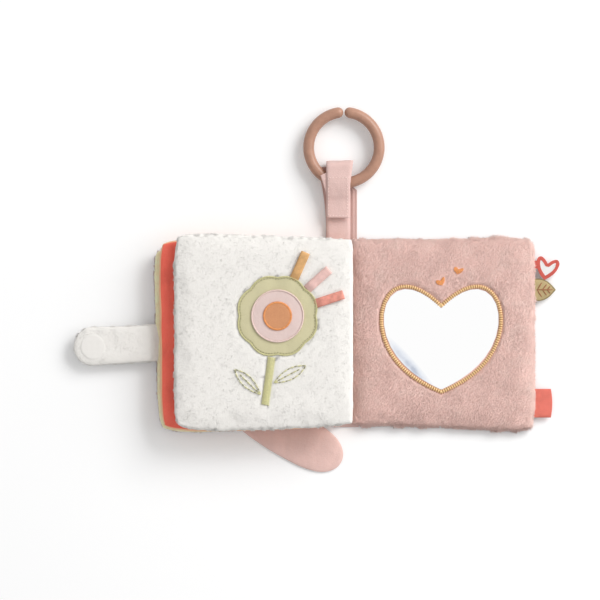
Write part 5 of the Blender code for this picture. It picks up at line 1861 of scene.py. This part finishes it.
def make_heart_tab():
    middle = np.array([HEART_TAB_X, HEART_TAB_Y])
    size = (HEART_TAB_WIDTH * HEART_TAB_GROWTH_SHARE, HEART_TAB_HEIGHT * HEART_TAB_GROWTH_SHARE)
    outline = heart_outline(middle, *size, HEART_TAB_NOTCH_SHARE, HEART_TAB_TILT, count=120)
    outline = rounded(outline, turns=3)
    heart = outward(soft_plate("heart_tab_felt", outline, TAB_LOW_Z, TAB_HIGH_Z - TAB_LOW_Z, FELT_WHITE))
    inner = drifted(inset_outline(outline, HEART_BAND), middle, 1, HEART_INNER_DRIFT)
    outer = drifted(outline, middle, HEART_OUTER_SHARE, HEART_OUTER_DRIFT)
    low, high = TAB_HIGH_Z - PRINT_INSIDE, TAB_HIGH_Z + PRINT_PROUD
    top = band_between("heart_tab_outline", outer, inner, low, high, CORAL_PRINT)
    low, high = TAB_LOW_Z - PRINT_PROUD, TAB_LOW_Z + PRINT_INSIDE
    bottom = band_between("heart_tab_outline_back", outer, inner, low, high, CORAL_PRINT)
    for piece, slot in ((heart, "white_fleece"), (top, "coral_velvet"), (bottom, "coral_velvet")):
        dress(outward(piece), "heart_tab_body")
    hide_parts("heart_tab")
    reaches = (-TAB_INSIDE, 0, STALK_REACH)
    path = smooth_path([(HEART_TAB_ROOT_X + reach, TAB_MIDDLE) for reach in reaches], count=14)
    half = (STALK_HIGH_Y - STALK_LOW_Y) / 2
    stalk = cloth_strip("heart_tab_stalk", path, half, STALK_THICKNESS, CORAL_PRINT, "Y", STALK_LOW_Y + half)
    blend_tab(stalk)


# The leaf's edge and veins, as shares of its length and its half width.
LEAF_TAB_SHARES = (
    (-0.2, -1), (0, -1), (0.35, -0.95), (0.68, -0.62), (1, 0), (0.68, 0.62), (0.35, 0.95), (0, 1), (-0.2, 1),
)
LEAF_SEAM_RADIUS = 0.0005
LEAF_MIDRIB = ((0.02, 0), (0.93, 0))
LEAF_VEIN_SHARES = ((0.10, 0.34), (0.36, 0.58), (0.60, 0.76))
LEAF_VEIN_REACH_SHARE = 0.72
LEAF_VEIN_END_SHARE = 1.1
LEAF_VEIN_RADIUS = 0.0005


def leaf_tab_place(share, side_share):
    return LEAF_TAB_ROOT_X + share * LEAF_TAB_LENGTH, LEAF_TAB_Y + side_share * LEAF_TAB_HALF_WIDTH


def make_leaf_tab():
    corners = [leaf_tab_place(*shares) for shares in LEAF_TAB_SHARES]
    tip = len(corners) // 2
    edge = np.vstack([smooth_path(corners[:tip + 1], count=40), smooth_path(corners[tip:], count=40)[1:]])
    thickness = TAB_HIGH_Z - TAB_LOW_Z
    leaf = outward(soft_plate("leaf_tab_cloth", edge, TAB_LOW_Z, thickness, LEAF_WEAVE, rings=10))
    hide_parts("leaf_tab")
    blend_tab(leaf)
    seam = tube("leaf_tab_edge", [(x, y, TAB_MIDDLE) for x, y in edge], LEAF_SEAM_RADIUS, OLIVE_THREAD)
    blend_tab(outward(seam))
    veins = [LEAF_MIDRIB]
    for foot, end in LEAF_VEIN_SHARES:
        reach = LEAF_VEIN_REACH_SHARE * (LEAF_VEIN_END_SHARE - foot)
        veins += [((foot, 0), (end, side * reach)) for side in (-1, 1)]
    for number, height in enumerate((TAB_HIGH_Z, TAB_LOW_Z)):
        pairs = [[(*leaf_tab_place(*shares), height) for shares in vein] for vein in veins]
        lines = stitches(f"leaf_tab_veins_{number}", pairs, LEAF_VEIN_RADIUS, 0, VEIN_THREAD)
        dress(lines, "leaf_tab_body")


LABEL_KNEE = 0.004
LABEL_THICKNESS = 0.0010
LABEL_CORNER_DRAW = 0.0011


def make_label_tab():
    reaches = (-TAB_INSIDE, LABEL_KNEE, LABEL_TAB_LENGTH)
    path = smooth_path([(LABEL_TAB_ROOT_X + reach, TAB_MIDDLE) for reach in reaches], count=30)
    label = cloth_strip(
        "label_tab_cloth", path, LABEL_TAB_HALF_WIDTH, LABEL_THICKNESS, LABEL_CORAL, "Y", LABEL_TAB_Y,
        columns=14,
    )
    points = points_of(label)
    share = (points[:, 0] - LABEL_TAB_ROOT_X) / LABEL_TAB_LENGTH
    across = (points[:, 1] - LABEL_TAB_Y) / LABEL_TAB_HALF_WIDTH
    points[:, 0] -= np.clip(share, 0, 1) * LABEL_CORNER_DRAW * across ** 2
    set_points(label, points)
    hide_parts("label_tab")
    blend_tab(label)


# Ground under the small things

def ground_of(piece):
    """Gives the height of a piece's upper face at a place."""
    mesh = piece.data
    faces = [tuple(polygon.vertices) for polygon in mesh.polygons]
    tree = BVHTree.FromPolygons([vertex.co.copy() for vertex in mesh.vertices], faces)

    def height(x, y):
        return tree.ray_cast(Vector((x, y, 1)), Vector((0, 0, -1)))[0].z
    return height


# Studio

CAMERA_X = -0.04125
CAMERA_Y = 0.0249
CAMERA_HEIGHT = 3.0
VIEW_WIDTH = 0.450
VIEW_PLANE_Z = 0.012
SENSOR_WIDTH = 36.0
FLOOR_SIZE = 8.0
FLOOR_Z = -0.0001
FLOOR_GREY = 0.8
FLOOR_GLOW = 0.04
AMBIENT = 0.58
LAMP_DISTANCE = 3.0
# Name, size, share of the light on the floor, elevation and azimuth of each lamp.
LAMPS = (
    ("key", 1.4, 0.32, math.radians(34), math.radians(44)),
    ("side", 2.0, 0.16, math.radians(30), math.radians(14)),
)


def bright_rays(tree):
    """1 for rays from the camera and from gloss or glass, otherwise 0."""
    rays = add_node(tree, "ShaderNodeLightPath").outputs
    found = rays["Is Camera Ray"]
    for kind in ("Is Glossy Ray", "Is Transmission Ray"):
        found = add_node(tree, "ShaderNodeMath", {0: found, 1: rays[kind]}, operation="MAXIMUM").outputs[0]
    return found


def between(tree, factor, low, high):
    """A value that goes from low to high as the factor goes from 0 to 1."""
    inputs = {"Value": factor, "To Min": low, "To Max": high}
    return add_node(tree, "ShaderNodeMapRange", inputs).outputs["Result"]


def make_world():
    world = bpy.data.worlds.new("studio")
    world.use_nodes = True
    tree = world.node_tree
    background = tree.nodes["Background"]
    background.inputs["Color"].default_value = (1, 1, 1, 1)
    tree.links.new(between(tree, bright_rays(tree), AMBIENT, 1), background.inputs["Strength"])
    bpy.context.scene.world = world


def make_floor():
    half = FLOOR_SIZE / 2
    corners = [(-half, -half), (half, -half), (half, half), (-half, half)]
    material = bpy.data.materials.new("floor")
    material.use_nodes = True
    tree = material.node_tree
    tree.nodes.clear()
    rays = bright_rays(tree)
    grey = between(tree, rays, FLOOR_GREY, 1)
    colour = add_node(tree, "ShaderNodeCombineColor", {"Red": grey, "Green": grey, "Blue": grey})
    diffuse = add_node(tree, "ShaderNodeBsdfDiffuse", {"Color": colour.outputs[0]})
    glow = add_node(tree, "ShaderNodeEmission", {"Strength": between(tree, rays, 0, FLOOR_GLOW)})
    both = add_node(tree, "ShaderNodeAddShader", {0: diffuse.outputs[0], 1: glow.outputs[0]})
    add_node(tree, "ShaderNodeOutputMaterial", {"Surface": both.outputs[0]})
    mesh = bpy.data.meshes.new("floor")
    mesh.from_pydata([(x, y, FLOOR_Z) for x, y in corners], [], [(0, 1, 2, 3)])
    mesh.materials.append(material)
    put_in_scene("floor", mesh)


def make_lamp(name, size, share, elevation, azimuth):
    data = bpy.data.lights.new(name, "AREA")
    data.shape = "SQUARE"
    data.size = size
    data.energy = share * math.pi ** 2 * LAMP_DISTANCE ** 2 / math.sin(elevation)
    lamp = put_in_scene(name, data)
    flat = math.cos(elevation)
    way = Vector((flat * math.cos(azimuth), flat * math.sin(azimuth), math.sin(elevation)))
    lamp.location = Vector((CAMERA_X, CAMERA_Y, 0)) + way * LAMP_DISTANCE
    lamp.rotation_euler = way.to_track_quat("Z", "Y").to_euler()


def make_camera():
    data = bpy.data.cameras.new("camera")
    data.sensor_width = SENSOR_WIDTH
    data.lens = SENSOR_WIDTH * (CAMERA_HEIGHT - VIEW_PLANE_Z) / VIEW_WIDTH
    camera = put_in_scene("camera", data)
    camera.location = (CAMERA_X, CAMERA_Y, CAMERA_HEIGHT)
    bpy.context.scene.camera = camera


def make_studio():
    bpy.context.scene.view_settings.view_transform = "Standard"
    make_world()
    make_floor()
    for lamp in LAMPS:
        make_lamp(*lamp)
    make_camera()


def build():
    make_studio()
    back = make_back_cover()
    white = make_white_leaf()
    make_red_leaf()
    make_front_cover()
    make_mirror()
    make_small_hearts(ground_of(back))
    make_flower(ground_of(white))
    make_ribbons(ground_of(white))
    make_closure()
    make_petal()
    make_spine()
    make_hanging_strap()
    make_ring()
    make_heart_tab()
    make_leaf_tab()
    make_label_tab()


build()
